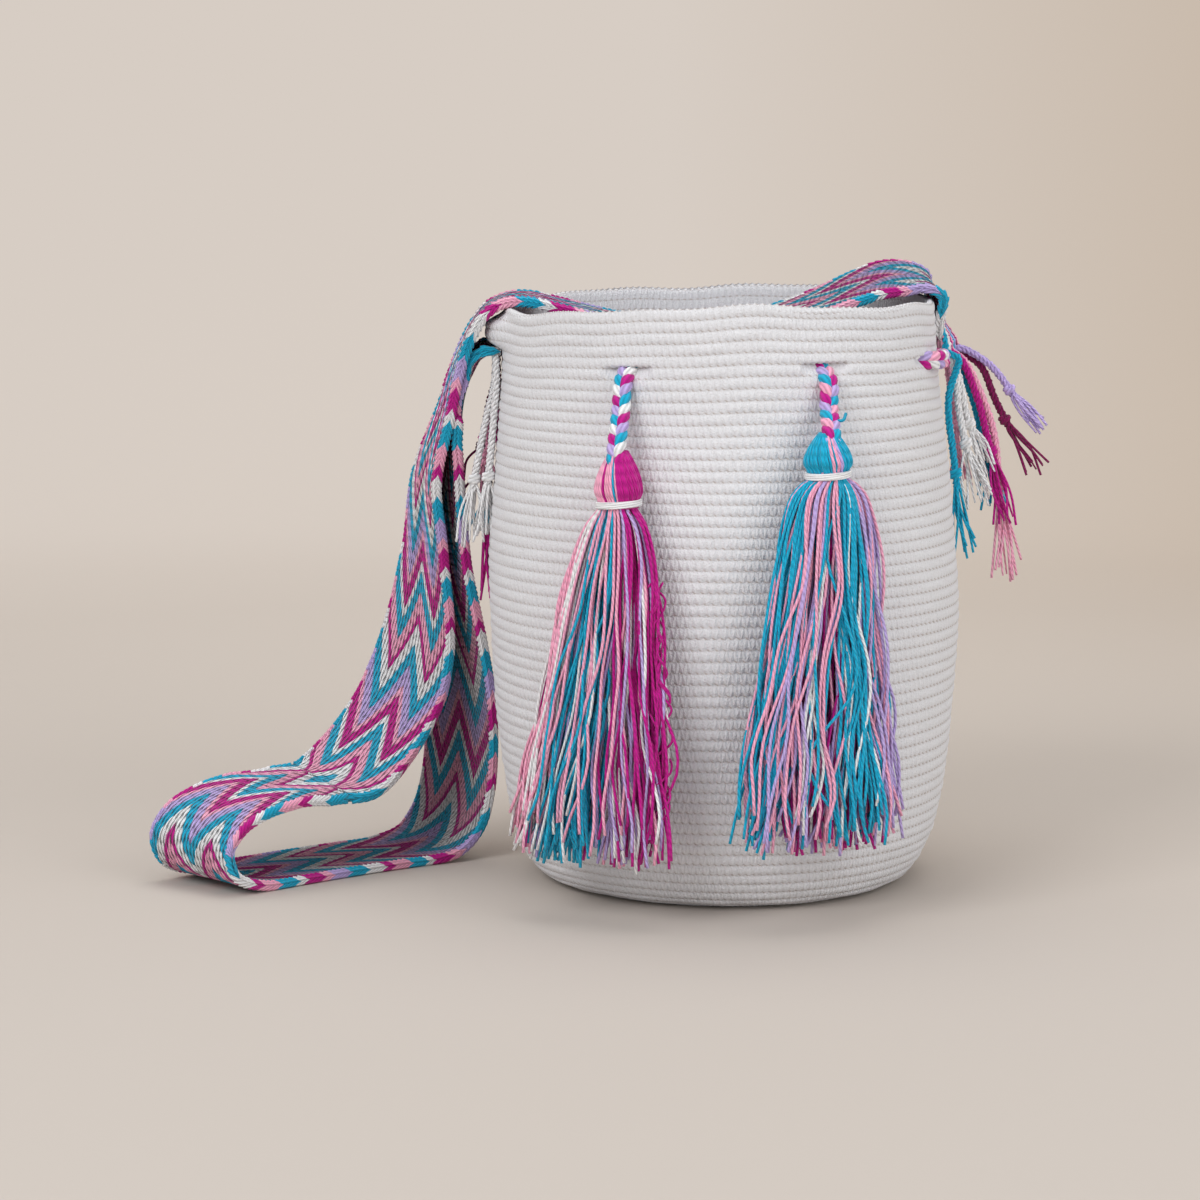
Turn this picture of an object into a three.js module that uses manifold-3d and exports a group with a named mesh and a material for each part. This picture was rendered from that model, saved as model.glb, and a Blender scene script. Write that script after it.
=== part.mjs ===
// A crocheted wayuu mochila: a soft bucket bag with a plaited drawstring, two tassels and a wide strap.
// Millimetres, +Z up. The origin is the centre of the base, and the tassels face -Y.
import * as THREE from "three";
import { mergeVertices } from "three/addons/utils/BufferGeometryUtils.js";
import Module from "manifold-3d";

const wasm = await Module();
wasm.setup();

// Bag body
const rimHeight = 290;
const rimRadius = 106;
const shoulderRadius = 108.5;
const shoulderDrop = 40;
const bellyRadius = 117;
const bellyHeight = 145;
const lowerRadius = 110;
const lowerHeight = 50;
const heelRadius = 103;
const heelHeight = 20;
const baseRadius = 80;
const baseRound = 13;
const baseRoundHeight = 4.5;
const wall = 5;
const rimLean = -4;
const rimDip = 5;
const bodySides = 48;
const profileSteps = 14;

// Drawstring
const cordDiameter = 9;
const slotDrop = 28;
const slotClearance = 0.8;
const slotLengthPerCord = 2.4;
const slotBoxDepth = 30;
const cordGap = 0.5;
const crossingHalf = 8.5;
const tasselAngle = 26;
const outsideSpans = [[66, 84], [126, 144], [186, 204], [238, 256]];
const cordSides = 8;
const cordSteps = 80;
const arcStep = 8;

// Tassels
const runOutside = 1;
const runInside = 6;
const headRadius = 10.5;
const neckRadius = 7;
const bindingThick = 3.4;
const headOut = 18.5;
const braidTopDrop = 1.3;
const cordsPerBraidRise = 4.5;
const braidEndRise = cordDiameter / cordsPerBraidRise;
const braidSteps = 3;
const skirtTopRadius = 9;
const skirtTopOut = 19.5;
const skirtEndOut = 27.5;
const skirtEndDepth = 13;
const skirtSides = 20;
// Swell of a head, as shares of its radius and of its length from the neck up
const headSwell = [[0.9, 0.15], [1, 0.45], [0.85, 0.8]];
// Places of a skirt's rings, as shares of its length
const skirtRings = [0, 0.1, 0.35, 0.7, 1];
const leftTassel = {
  name: "left", angle: -tasselAngle, braidLength: 38, headLength: 22, skirtLength: 168, halfWidth: 36,
  headDrift: 5.5, skirtDrift: -6,
};
const rightTassel = {
  name: "right", angle: tasselAngle, braidLength: 31, headLength: 17, skirtLength: 178, halfWidth: 39,
  headDrift: -9, skirtDrift: -16,
};

// Strap
const strapWidth = 58;
const strapThick = 4.5;
const strapEndWidth = 34;
const gatherLength = 45;
const rightEndAngle = 99;
const leftEndAngle = -91;
const rightEndDrop = 24;
const leftEndDrop = 24;
const leftEndStraight = 9;
const strapStepsPerPoint = 2;

// Loose cords at the strap's ends
const fringeDiameter = 3.5;
const fringeStep = 9;
const rightFringeDrop = 1.6;
const rightFringeOut = 1.5;
const leftFringeOut = 2.6;

// Gap that keeps touching pieces apart, and the distance below which two corners count as one
const fitGap = 0.3;
const weldDistance = 0.001;

const clothRoughness = 0.9;
const yarn = {
  cream: 0xe4dfdc,
  blue: 0x0fa0be,
  magenta: 0xb40c82,
  pink: 0xf5a0b9,
  lavender: 0xb8a0d6,
  white: 0xeeebe8,
};
const bag = new THREE.Group();

function addPiece(name, geometry, colour) {
  const material = new THREE.MeshStandardMaterial({ color: colour, roughness: clothRoughness, metalness: 0 });
  const piece = new THREE.Mesh(geometry, material);
  piece.name = name;
  bag.add(piece);
}

// Outer wall curve as (radius, height), from the edge of the flat base up to the rim
const wallCurve = new THREE.SplineCurve([
  new THREE.Vector2(baseRadius, 0),
  new THREE.Vector2(baseRadius + baseRound, baseRoundHeight),
  new THREE.Vector2(heelRadius, heelHeight),
  new THREE.Vector2(lowerRadius, lowerHeight),
  new THREE.Vector2(bellyRadius, bellyHeight),
  new THREE.Vector2(shoulderRadius, rimHeight - shoulderDrop),
  new THREE.Vector2(rimRadius, rimHeight),
]);
const wallPoints = wallCurve.getSpacedPoints(profileSteps);

// Outer radius at a height, on the straight facets between the wall's points
function radiusAt(height) {
  const above = wallPoints.findIndex((point) => point.y >= height);
  const high = wallPoints[Math.max(above, 1)];
  const low = wallPoints[Math.max(above, 1) - 1];
  return THREE.MathUtils.mapLinear(height, low.y, high.y, low.x, high.x);
}

// The soft bag leans a little to the left, and its rim dips there under the strap
function settle(point) {
  const share = point.z / rimHeight;
  const leftward = Math.max(0, -point.x / Math.max(Math.hypot(point.x, point.y), 1));
  point.x += rimLean * share ** 2;
  point.z -= rimDip * leftward ** 2 * share ** 4;
  return point;
}

function outward(angle) {
  const turn = THREE.MathUtils.degToRad(angle);
  return new THREE.Vector3(Math.sin(turn), -Math.cos(turn), 0);
}

function sideways(angle) {
  return outward(angle + 90);
}

// A point at a distance outside the wall, at an angle counted from the front towards the right
function wallPoint(angle, height, out) {
  return settle(outward(angle).multiplyScalar(radiusAt(height) + out).setZ(height));
}

function solidOf(geometry) {
  const bare = new THREE.BufferGeometry().setAttribute("position", geometry.getAttribute("position"));
  bare.setIndex(geometry.index);
  const merged = mergeVertices(bare, weldDistance);
  const corners = merged.index.array;
  const kept = [];
  for (let i = 0; i < corners.length; i += 3) {
    const [a, b, c] = corners.slice(i, i + 3);
    if (a !== b && b !== c && c !== a) kept.push(a, b, c);
  }
  const vertProperties = merged.getAttribute("position").array;
  const triVerts = new Uint32Array(kept);
  return new wasm.Manifold(new wasm.Mesh({ numProp: 3, vertProperties, triVerts }));
}

function geometryOf(solid) {
  const mesh = solid.getMesh();
  const geometry = new THREE.BufferGeometry();
  const corners = new Float32Array(mesh.vertProperties);
  geometry.setAttribute("position", new THREE.BufferAttribute(corners, 3));
  return geometry.setIndex(Array.from(mesh.triVerts));
}

// A closed solid through rings of points that all have the same count, with flat ends
function loftRings(rings) {
  const sides = rings[0].length;
  const points = rings.flat();
  const faces = [];
  for (let ring = 0; ring + 1 < rings.length; ring++) {
    for (let side = 0; side < sides; side++) {
      const next = (side + 1) % sides;
      const [a, b] = [ring * sides + side, ring * sides + next];
      faces.push(a, b, b + sides, a, b + sides, a + sides);
    }
  }
  const last = (rings.length - 1) * sides;
  for (let side = 1; side + 1 < sides; side++) {
    faces.push(0, side + 1, side, last, last + side, last + side + 1);
  }
  return new THREE.BufferGeometry().setFromPoints(points).setIndex(faces);
}

function tube(points, diameter, steps, sides) {
  const section = new THREE.Shape();
  for (let side = 0; side < sides; side++) {
    const turn = (2 * Math.PI * side) / sides;
    const corner = [(Math.cos(turn) * diameter) / 2, (Math.sin(turn) * diameter) / 2];
    if (side === 0) section.moveTo(...corner);
    else section.lineTo(...corner);
  }
  const extrudePath = new THREE.CatmullRomCurve3(points, false, "centripetal");
  return new THREE.ExtrudeGeometry(section, { steps, extrudePath, bevelEnabled: false });
}

function upright(geometry) {
  return geometry.rotateX(Math.PI / 2);
}

const slotHeight = rimHeight - slotDrop;
const slotAngles = [tasselAngle, ...outsideSpans.flat(), 360 - tasselAngle];

// A box through the wall, for the drawstring to pass
function slotBox(angle) {
  const tall = cordDiameter + 2 * slotClearance;
  const long = cordDiameter * slotLengthPerCord + 2 * slotClearance;
  const box = new THREE.BoxGeometry(long, slotBoxDepth, tall);
  box.rotateZ(THREE.MathUtils.degToRad(angle));
  const centre = wallPoint(angle, slotHeight, -wall / 2);
  return box.translate(centre.x, centre.y, centre.z);
}

function bagBody() {
  const inner = wallPoints.map((point, i) => {
    const before = wallPoints[Math.max(i - 1, 0)];
    const after = wallPoints[Math.min(i + 1, profileSteps)];
    const along = after.clone().sub(before).normalize();
    return new THREE.Vector2(point.x - wall * along.y, point.y + wall * along.x);
  });
  inner[0].y = wall;
  inner[profileSteps].y = rimHeight;
  const axisLow = new THREE.Vector2(0, 0);
  const axisHigh = new THREE.Vector2(0, wall);
  const outline = [axisLow, ...wallPoints, ...inner.reverse(), axisHigh];
  const shell = upright(new THREE.LatheGeometry(outline, bodySides));
  const position = shell.getAttribute("position");
  for (let i = 0; i < position.count; i++) {
    const point = settle(new THREE.Vector3().fromBufferAttribute(position, i));
    position.setXYZ(i, point.x, point.y, point.z);
  }
  let solid = solidOf(shell);
  for (const angle of slotAngles) solid = solid.subtract(solidOf(slotBox(angle)));
  addPiece("bag_body", geometryOf(solid), yarn.cream);
}

// The drawstring runs inside the wall, and outside it between each pair of slots in outsideSpans
function drawstringNeck() {
  const outside = cordDiameter / 2 + cordGap;
  const inside = -wall - outside;
  const cross = THREE.MathUtils.radToDeg(crossingHalf / rimRadius);
  const endTurn = THREE.MathUtils.radToDeg((cordDiameter / 2 + fitGap) / (rimRadius + inside));
  const points = [];
  function arc(from, to, out) {
    const count = Math.max(1, Math.round((to - from) / arcStep));
    for (let i = 0; i <= count; i++) {
      points.push(wallPoint(THREE.MathUtils.lerp(from, to, i / count), slotHeight, out));
    }
  }
  let angle = tasselAngle + endTurn;
  for (const [from, to] of outsideSpans) {
    arc(angle, from - cross, inside);
    arc(from + cross, to - cross, outside);
    angle = to + cross;
  }
  arc(angle, 360 - tasselAngle - endTurn, inside);
  addPiece("drawstring_neck", tube(points, cordDiameter, cordSteps, cordSides), yarn.blue);
}

// One tassel: the cord's run through its slot, the plait that hangs from it, head, binding and skirt
function tassel({ name, angle, braidLength, headLength, skirtLength, halfWidth, headDrift, skirtDrift }) {
  const seat = wallPoint(angle, slotHeight, 0);
  const at = (out, along, height) =>
    seat.clone().addScaledVector(outward(angle), out).addScaledVector(sideways(angle), along).setZ(height);
  const run = [at(-wall - runInside, 0, slotHeight), at(runOutside, 0, slotHeight)];
  addPiece(`${name}_eyelet_run`, tube(run, cordDiameter, 1, cordSides), yarn.magenta);

  const headTop = slotHeight - braidLength;
  const neckTop = headTop - headLength;
  const neckBottom = neckTop - bindingThick - 2 * fitGap;
  const braid = [
    at(runOutside + fitGap + cordDiameter / 2, 0, slotHeight - braidTopDrop),
    at(headOut - fitGap, headDrift, headTop + braidEndRise + fitGap),
  ];
  addPiece(`${name}_drop_braid`, tube(braid, cordDiameter, braidSteps, cordSides), yarn.magenta);

  const axis = at(headOut, headDrift, 0);
  const turned = (outline) => {
    const points = outline.map(([radius, height]) => new THREE.Vector2(radius, height));
    return upright(new THREE.LatheGeometry(points, skirtSides)).translate(axis.x, axis.y, 0);
  };
  const head = turned([
    [0, neckBottom],
    [neckRadius, neckBottom],
    [neckRadius, neckTop],
    ...headSwell.map(([wide, high]) => [headRadius * wide, neckTop + headLength * high]),
    [cordDiameter / 2, headTop],
    [0, headTop],
  ]);
  addPiece(`${name}_tassel_head`, head, name === "left" ? yarn.magenta : yarn.blue);

  const ringInner = neckRadius + fitGap;
  const ringOuter = ringInner + bindingThick;
  const ringLow = neckTop - fitGap - bindingThick;
  const ringHigh = neckTop - fitGap;
  const ring = turned([
    [ringInner, ringLow],
    [ringOuter, ringLow],
    [ringOuter, ringHigh],
    [ringInner, ringHigh],
    [ringInner, ringLow],
  ]);
  addPiece(`${name}_tassel_binding`, ring, yarn.white);

  const rings = skirtRings.map((share) => {
    const height = neckBottom - fitGap - share * skirtLength;
    const spread = Math.sqrt(share);
    const across = THREE.MathUtils.lerp(skirtTopRadius, halfWidth, spread);
    const deep = THREE.MathUtils.lerp(skirtTopRadius, skirtEndDepth, share);
    const out = THREE.MathUtils.lerp(skirtTopOut, skirtEndOut, share);
    const drift = THREE.MathUtils.lerp(headDrift, skirtDrift, share);
    return Array.from({ length: skirtSides }, (_, side) => {
      const turn = (2 * Math.PI * side) / skirtSides;
      return at(out - deep * Math.cos(turn), drift + across * Math.sin(turn), height);
    });
  });
  addPiece(`${name}_tassel_skirt`, loftRings(rings), name === "left" ? yarn.pink : yarn.blue);
}

// The strap's route, from its right end over the mouth and the left rim, down to the floor and back up to
// its left end. Each place has x and y, the height of the band's underside above the rim or the floor with
// the usual gap, and the heading and tilt of the band's width in degrees.
const overMouth = [
  [105, 17, -2.05, 8, 0],
  [101, 17, 2.85, 6, 2],
  [93, 18, 5.45, 4, 7],
  [80, 19, 5.45, 2, 10],
  [65, 19, 0.45, 0, 10],
  [48, 18, -6.55, 0, 8],
  [25, 17, -13.55, 0, 5],
  [-2, 15, -18.55, 0, 2],
  [-30, 14, -18.55, 0, 0],
  [-58, 13, -13.55, 0, 0],
  [-82, 12, -7.55, 0, 0],
  [-98, 12, -3.95, 0, 0],
  [-109, 12, -4.45, 0, 0],
  [-118, 12, -9.05, 1, 0],
  [-125, 13, -18.55, 2, 0],
  [-133, 16, -37.55, 4, 0],
  [-140, 20, -62.55, 7, 0],
  [-149, 26, -93.55, 12, 0],
];
const acrossFloor = [
  [-151, 35, 155.45, 22, 0],
  [-155, 39, 113.45, 38, 0],
  [-162, 38, 87.45, 47, 1],
  [-170, 32, 71.45, 50, 2],
  [-182, 21, 55.45, 53, 4],
  [-195, 8, 44.45, 56, 6],
  [-213, -5, 42.45, 56, 6],
  [-231, -19, 42.45, 54, 4],
  [-247, -31, 38.45, 52, 2],
  [-258, -39, 31.45, 50, 1],
  [-264, -43, 20.45, 48, 0],
  [-260, -40, 7.45, 45, 0],
  [-247, -28, 0.85, 43, 0],
  [-226, -9, 0.05, 41, 0],
  [-206, 8, 0.05, 40, 0],
  [-183, 26, 0.05, 40, 0],
  [-164, 39, 0.65, 40, 0],
  [-150, 46, 5.45, 40, 0],
  [-141, 50, 16.45, 40, 0],
  [-136, 51, 34.45, 39, 0],
  [-134, 50, 60.45, 38, 0],
  [-134, 46, 86.45, 35, 0],
  [-136, 42, 113.45, 30, 0],
  [-139, 35, 155.45, 20, 0],
];
const upToWall = [
  [-138, 28, -93.55, 12, 0],
  [-136, 23, -68.55, 7, 0],
  [-132, 18, -50.55, 4, 0],
  [-127, 9, -38.55, 2, 0],
];

function strapStations() {
  const lay = strapThick / 2 + fitGap;
  const rightEnd = wallPoint(rightEndAngle, rimHeight - rightEndDrop, lay);
  const rightBend = wallPoint(rightEndAngle, rimHeight - rightEndDrop / 2, lay);
  const leftEnd = wallPoint(leftEndAngle, rimHeight - leftEndDrop, 2 * fitGap);
  const leftBend = leftEnd.clone().addScaledVector(outward(leftEndAngle), leftEndStraight);
  const heading = rightEndAngle - 90;
  const place = (base) => ([x, y, z, turn, tilt]) => {
    const centre = new THREE.Vector3(x, y, base + lay + z);
    return { centre, turn, tilt };
  };
  return [
    { centre: rightEnd, turn: heading, tilt: 0 },
    { centre: rightBend, turn: heading, tilt: 0 },
    ...overMouth.map(place(rimHeight)),
    ...acrossFloor.map(place(0)),
    ...upToWall.map(place(rimHeight)),
    { centre: leftBend, turn: 0, tilt: 0 },
    { centre: leftEnd, turn: 0, tilt: 0 },
  ];
}

function widthDirection(turn, tilt) {
  const [heading, rise] = [THREE.MathUtils.degToRad(turn), THREE.MathUtils.degToRad(tilt)];
  return new THREE.Vector3(
    -Math.sin(heading) * Math.cos(rise),
    Math.cos(heading) * Math.cos(rise),
    Math.sin(rise),
  );
}

// A flat band along the route, gathered where its ends are sewn to the wall
function strapBand() {
  const stations = strapStations();
  const centres = stations.map((station) => station.centre);
  const curve = new THREE.CatmullRomCurve3(centres, false, "centripetal");
  const spans = stations.length - 1;
  const count = spans * strapStepsPerPoint;
  const points = Array.from({ length: count + 1 }, (_, i) => curve.getPoint(i / count));
  const travelled = [0];
  for (let i = 1; i <= count; i++) {
    travelled.push(travelled[i - 1] + points[i].distanceTo(points[i - 1]));
  }
  const rings = points.map((centre, i) => {
    const span = Math.min(Math.floor(i / strapStepsPerPoint), spans - 1);
    const share = i / strapStepsPerPoint - span;
    const [from, to] = [stations[span], stations[span + 1]];
    const turn = THREE.MathUtils.lerp(from.turn, to.turn, share);
    const tilt = THREE.MathUtils.lerp(from.tilt, to.tilt, share);
    const along = curve.getTangent(i / count);
    const across = widthDirection(turn, tilt);
    across.addScaledVector(along, -across.dot(along)).normalize();
    const up = new THREE.Vector3().crossVectors(across, along);
    const fromEnd = Math.min(travelled[i], travelled[count] - travelled[i]);
    const open = THREE.MathUtils.smoothstep(fromEnd, 0, gatherLength);
    const half = THREE.MathUtils.lerp(strapEndWidth, strapWidth, open) / 2;
    const corner = (side, face) =>
      centre.clone().addScaledVector(across, side * half).addScaledVector(up, (face * strapThick) / 2);
    return [corner(-1, -1), corner(-1, 1), corner(1, 1), corner(1, -1)];
  });
  addPiece("strap_band", loftRings(rings), yarn.blue);
}

// Loose cords: each keeps to its own lane in y, and hangs through hand-chosen places in x and z
const rightFringe = [
  [
    "right_fringe_blue",
    yarn.blue,
    [[112, 257], [111, 246], [111, 236], [113.5, 216], [117, 189], [119, 178], [122, 162]],
  ],
  [
    "right_fringe_white_front",
    yarn.white,
    [[114, 255], [117, 232], [121, 214], [125, 198], [128, 187]],
  ],
  [
    "right_fringe_white_back",
    yarn.white,
    [[116, 252], [122, 227], [127, 216], [133, 201]],
  ],
  [
    "right_fringe_magenta",
    yarn.magenta,
    [[118, 258], [127, 237], [132, 218], [136, 204], [140, 188], [143, 178]],
  ],
  [
    "right_fringe_pink",
    yarn.pink,
    [[120, 257], [132, 232], [136, 217], [138, 197], [140, 172], [143, 149]],
  ],
  [
    "right_fringe_teal",
    yarn.blue,
    [[118, 254], [125, 237], [129, 220], [131, 202], [135, 184]],
  ],
  [
    "right_fringe_lavender",
    yarn.lavender,
    [[119, 263], [133, 255], [143, 243], [150, 232], [159, 222]],
  ],
  [
    "right_fringe_burgundy",
    yarn.magenta,
    [[119, 261], [129, 254], [137, 236], [146, 220], [155, 210], [160, 203]],
  ],
  [
    "right_fringe_rose",
    yarn.pink,
    [[113, 254], [116, 236], [119, 216], [123, 196]],
  ],
];
const leftFringe = [
  [
    "left_fringe_wall",
    yarn.magenta,
    [[-113.8, 249], [-114.6, 236], [-116.2, 218]],
  ],
  [
    "left_fringe_white_front",
    yarn.white,
    [[-114, 248], [-116, 230], [-118, 210], [-119.6, 190], [-120.3, 173]],
  ],
  [
    "left_fringe_white_back",
    yarn.white,
    [[-115, 246], [-118, 234], [-120, 220], [-123, 205], [-126, 190], [-127, 170]],
  ],
  [
    "left_fringe_pink",
    yarn.pink,
    [[-114.8, 246], [-116.6, 229], [-119, 204], [-120, 187]],
  ],
  [
    "left_fringe_blue",
    yarn.blue,
    [[-115, 246], [-117.2, 224], [-118.8, 205], [-119.8, 189], [-120.4, 174]],
  ],
  [
    "left_fringe_plum",
    yarn.magenta,
    [[-114, 250], [-117.5, 238], [-121.5, 215], [-125, 193]],
  ],
  [
    "left_fringe_magenta",
    yarn.magenta,
    [[-114, 244], [-116, 223], [-118, 203], [-119.5, 178], [-120.5, 157], [-121, 141]],
  ],
];

function fringe(cords, end, drop) {
  const pitch = (strapEndWidth - fringeDiameter) / (cords.length - 1);
  const firstLane = end.y - (strapEndWidth - fringeDiameter) / 2;
  cords.forEach(([name, colour, route], i) => {
    const lane = firstLane + i * pitch;
    const start = new THREE.Vector3(end.x, lane, end.z - drop);
    const points = [start, ...route.map(([x, z]) => new THREE.Vector3(x, lane, z))];
    const length = new THREE.CatmullRomCurve3(points).getLength();
    addPiece(name, tube(points, fringeDiameter, Math.round(length / fringeStep), cordSides), colour);
  });
}

function fringes() {
  const stations = strapStations();
  const right = stations[0].centre;
  const left = stations[stations.length - 1].centre;
  right.x += rightFringeOut;
  left.x -= leftFringeOut;
  fringe(rightFringe, right, rightFringeDrop);
  fringe(leftFringe, left, strapThick / 2 + 2 * fitGap);
}

bagBody();
drawstringNeck();
tassel(leftTassel);
tassel(rightTassel);
strapBand();
fringes();

export default bag;
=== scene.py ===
import math
import random

import bmesh
import bpy
import numpy as np
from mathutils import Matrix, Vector


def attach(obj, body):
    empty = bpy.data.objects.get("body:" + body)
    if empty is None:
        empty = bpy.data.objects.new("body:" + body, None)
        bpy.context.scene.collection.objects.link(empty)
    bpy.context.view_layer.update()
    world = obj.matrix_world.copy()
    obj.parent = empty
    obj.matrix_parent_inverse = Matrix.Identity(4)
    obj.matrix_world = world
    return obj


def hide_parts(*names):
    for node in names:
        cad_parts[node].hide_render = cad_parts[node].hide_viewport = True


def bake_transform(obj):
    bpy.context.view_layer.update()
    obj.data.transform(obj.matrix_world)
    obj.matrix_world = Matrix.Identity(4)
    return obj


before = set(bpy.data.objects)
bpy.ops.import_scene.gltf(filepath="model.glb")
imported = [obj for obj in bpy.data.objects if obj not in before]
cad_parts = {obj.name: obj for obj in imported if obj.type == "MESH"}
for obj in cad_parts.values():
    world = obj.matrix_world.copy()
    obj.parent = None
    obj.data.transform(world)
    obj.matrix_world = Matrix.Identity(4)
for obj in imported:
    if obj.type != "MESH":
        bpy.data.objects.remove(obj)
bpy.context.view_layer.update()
draw = random.Random(7)

# Camera, fitted to the photograph's view of the rim, base and strap
CAMERA_PLACE = (-0.0625, -1.88, 0.401)
CAMERA_PITCH = 7.945
CAMERA_ANGLE = 17.98

# Gap that keeps touching pieces apart, distance below which two corners count as one, and a thread's tip
# as a share of its radius
FIT_GAP = 0.0003
WELD_DISTANCE = 0.000002
TIP_SHARE = 0.05

# Bag body: the same driving sizes as the frame
RIM_HEIGHT = 0.290
WALL = 0.005
RIM_LEAN = -0.004
RIM_DIP = 0.005
PROFILE = [
    (0.080, 0), (0.093, 0.0045), (0.103, 0.020), (0.110, 0.050),
    (0.117, 0.145), (0.1085, 0.250), (0.106, 0.290),
]

# Crochet
ROWS = 57
LOWER_ROWS = 28
STITCHES = 188
SAMPLES_PER_ROW = 6
SAMPLES_PER_STITCH = 3
RIB_HEIGHT = 0.0008
RIB_SEAT = 0.75
STITCH_DIP = 0.16
STITCH_JITTER = 0.00018
SCALLOP = 0.0007
RIM_THICK = 0.0034
RIB_ROUNDNESS = 2.4
MID_STITCH_VALLEY = 0.72
JITTER_BEATS = (12.9898, 78.233)
JITTER_POWER = 1.3
RIM_WAVE = 0.0011
# How many waves go round the rim, where they start, and their share of RIM_WAVE
RIM_WAVES = [(3, 1.1, 1), (7, 0.4, 0.6), (13, 0, 0.4)]
RIM_CHAIN = 0.0004
RIM_TAPER = 0.012
RIM_CURL = (-30, 200)
RIM_STEPS = 9
# Slow waves of the rows and of the wall: their size, how many go round, and their turn with each row
ROW_WAVE = 0.0007
ROW_WAVES = 2
ROW_TURN = 0.25
ROW_WAVE_FADE = 0.03
WALL_WAVE = 0.0005
WALL_WAVES = 3
WALL_TURN = 0.11
WALL_BEAT = 0.3
LOWEST_HALF_ROW = 5
BASE_RINGS = 14
BASE_RIB = 0.0004
CENTRE_RADIUS = 0.001
SLIT_DEPTH = 0.0045
SLIT_HALF_LENGTH = 0.0125
SLIT_RISE = 0.0015
SLIT_FALL = 0.0055
# The wall swells out between the two ends of the strap on the left
LOBE_ANGLE = -88
LOBE_HEIGHT = 0.278
LOBE_HALF_ANGLE = 9
LOBE_HALF_HEIGHT = 0.008
LOBE_OUT = 0.0095

# Drawstring
CORD_DIAMETER = 0.009
SLOT_HEIGHT = 0.262
CORD_GAP = 0.0005
CORD_SINK = 0.002
CROSSING_HALF = 0.006
TASSEL_ANGLE = 26
OUTSIDE_SPANS = [(66, 84), (126, 144), (186, 204), (238, 256)]
ARC_STEP = 8
PLAIT_PITCH = 0.0205
PLAIT_WIDE = 0.0024
PLAIT_DEEP = 0.0014
PLAIT_STRAND = 0.0023
PLAIT_STEP = 0.0012
PLAIT_PLY = 0.02
DRAWSTRING_STRANDS = ["pink", "lavender", "white", "magenta"]

# Strap
STRAP_WIDTH = 0.058
STRAP_THICK = 0.0045
GATHER_LENGTH = 0.045
RIGHT_END_ANGLE = 99
LEFT_END_ANGLE = -91
END_DROP = 0.024
LEFT_END_STRAIGHT = 0.009
STRIPE = 0.0056
LEG_RISE = 0.030
MIDDLE_SHIFT = 0.007
SAMPLES_PER_STRIPE = 4
LEGS = 4
SAMPLES_PER_LEG = 12
STRAND_RELIEF = 0.0011
BORDER_JAG = 0.0011
BEADS_PER_STITCH = 2
INNER_FACE = 100
EDGE_STRAND = 0.00125
EDGE_HALF = 0.0019
EDGE_SLANT = 0.006
EDGE_SEAT = 0.95
EDGE_REACH = 0.045
EDGE_START = 0.25
EDGE_SAMPLES = 7
EDGE_PLY = 0.006
ROUNDED_EDGE = 0.1
GATHERED_WIDTH = 0.026
LEFT_END_TILT = -4
RIGHT_END_FLARE = 0.0052
RIGHT_END_TURN = 27
# Colours of the strands, outwards from the strap's middle
SEQUENCE = "BBWWMKKBBWMMKPP"

# Loose cords
FRINGE_DIAMETER = 0.0035
ROPE_STRAND = 0.0009
ROPE_OFFSET = 0.00128
ROPE_TURN = 0.0075
FRINGE_STEP = 0.0016
FRAY_SHARE = 0.33
FRAY_THREADS = 7
FRAY_RADIUS = 0.00065
FRAY_BOW = 0.6
FRAY_PLY = 0.003
# Limits of how far a frayed thread leans and curls in x, y and z
FRAY_LEAN = [(-0.008, 0.008), (-0.005, 0.004), (-0.004, 0.007)]
FRAY_CURL = [(-0.002, 0.002), (-0.002, 0.002), (-0.001, 0.001)]
ROPE_STRANDS = 3
ROPE_PLY = 0.004
UNTWISTED = 0.8
LOOSE_OFFSET = 0.0013
LOOSE_THINNING = 0.5
KNOT_TURNS = 1.5
KNOT_SAMPLES = 19
KNOT_RADIUS = 0.002
KNOT_LENGTH = 0.003
KNOT_STRAND = 0.0014
KNOT_PLY = 0.005
FRINGE_DROP = 0.003
LEFT_FRINGE_OUT = 0.0026
RIGHT_FRINGE_OUT = 0.0024

# Tassels: places and sizes as in the frame
HEAD_RADIUS = 0.0105
HEAD_OUT = 0.0185
BINDING_THICK = 0.0034
SKIRT_TOP_OUT = 0.0195
SKIRT_END_OUT = 0.0275
SKIRT_END_DEPTH = 0.013

# Threads of the tassels
HEAD_UNEVENNESS = 0.04
HEAD_SWELL = (0.92, 1.04)
HEAD_RISE = 0.001
HEAD_PLY = 0.005
BINDING_RADIUS = 0.9 * HEAD_RADIUS + 0.0009
BINDING_STRAND = 0.0007
BINDING_TURNS = 4
BINDING_STEPS = 24
BINDING_MARGIN = 0.1
BINDING_WAVE = 0.0006
BINDING_PLY = 0.02
THREAD_RADIUS = 0.00077
THREADS = 270
NECK_SPREAD = 0.0088
NECK_SHARE = 0.035
SKIRT_TUCK = 0.004
SKIRT_FLATNESS = 0.9
THREAD_PLY = 0.0036
# Lengths of threads as shares of the skirt, inside it and on its outside
CORE_LENGTH = (0.96, 1.04)
OUTER_LENGTH = (0.88, 1.02)
# Waves of the locks and the threads: how far they bend, and how many radians they turn along the skirt
LOCK_BEND = 0.0026
LOCK_BEATS = (4, 10)
SLOW_BEND = 0.003
SLOW_BEATS = (5, 12)
FAST_BEND = 0.001
FAST_BEATS = (12, 22)
LOCK_SWAY = 0.003
THREAD_SWAY = 0.0025
END_FLICK = 0.0025
WANDER_OUT = 0.3
PARTING = 0.16
STRAY_SWING = 1.3
COLOUR_MIXING = 0.1
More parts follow.
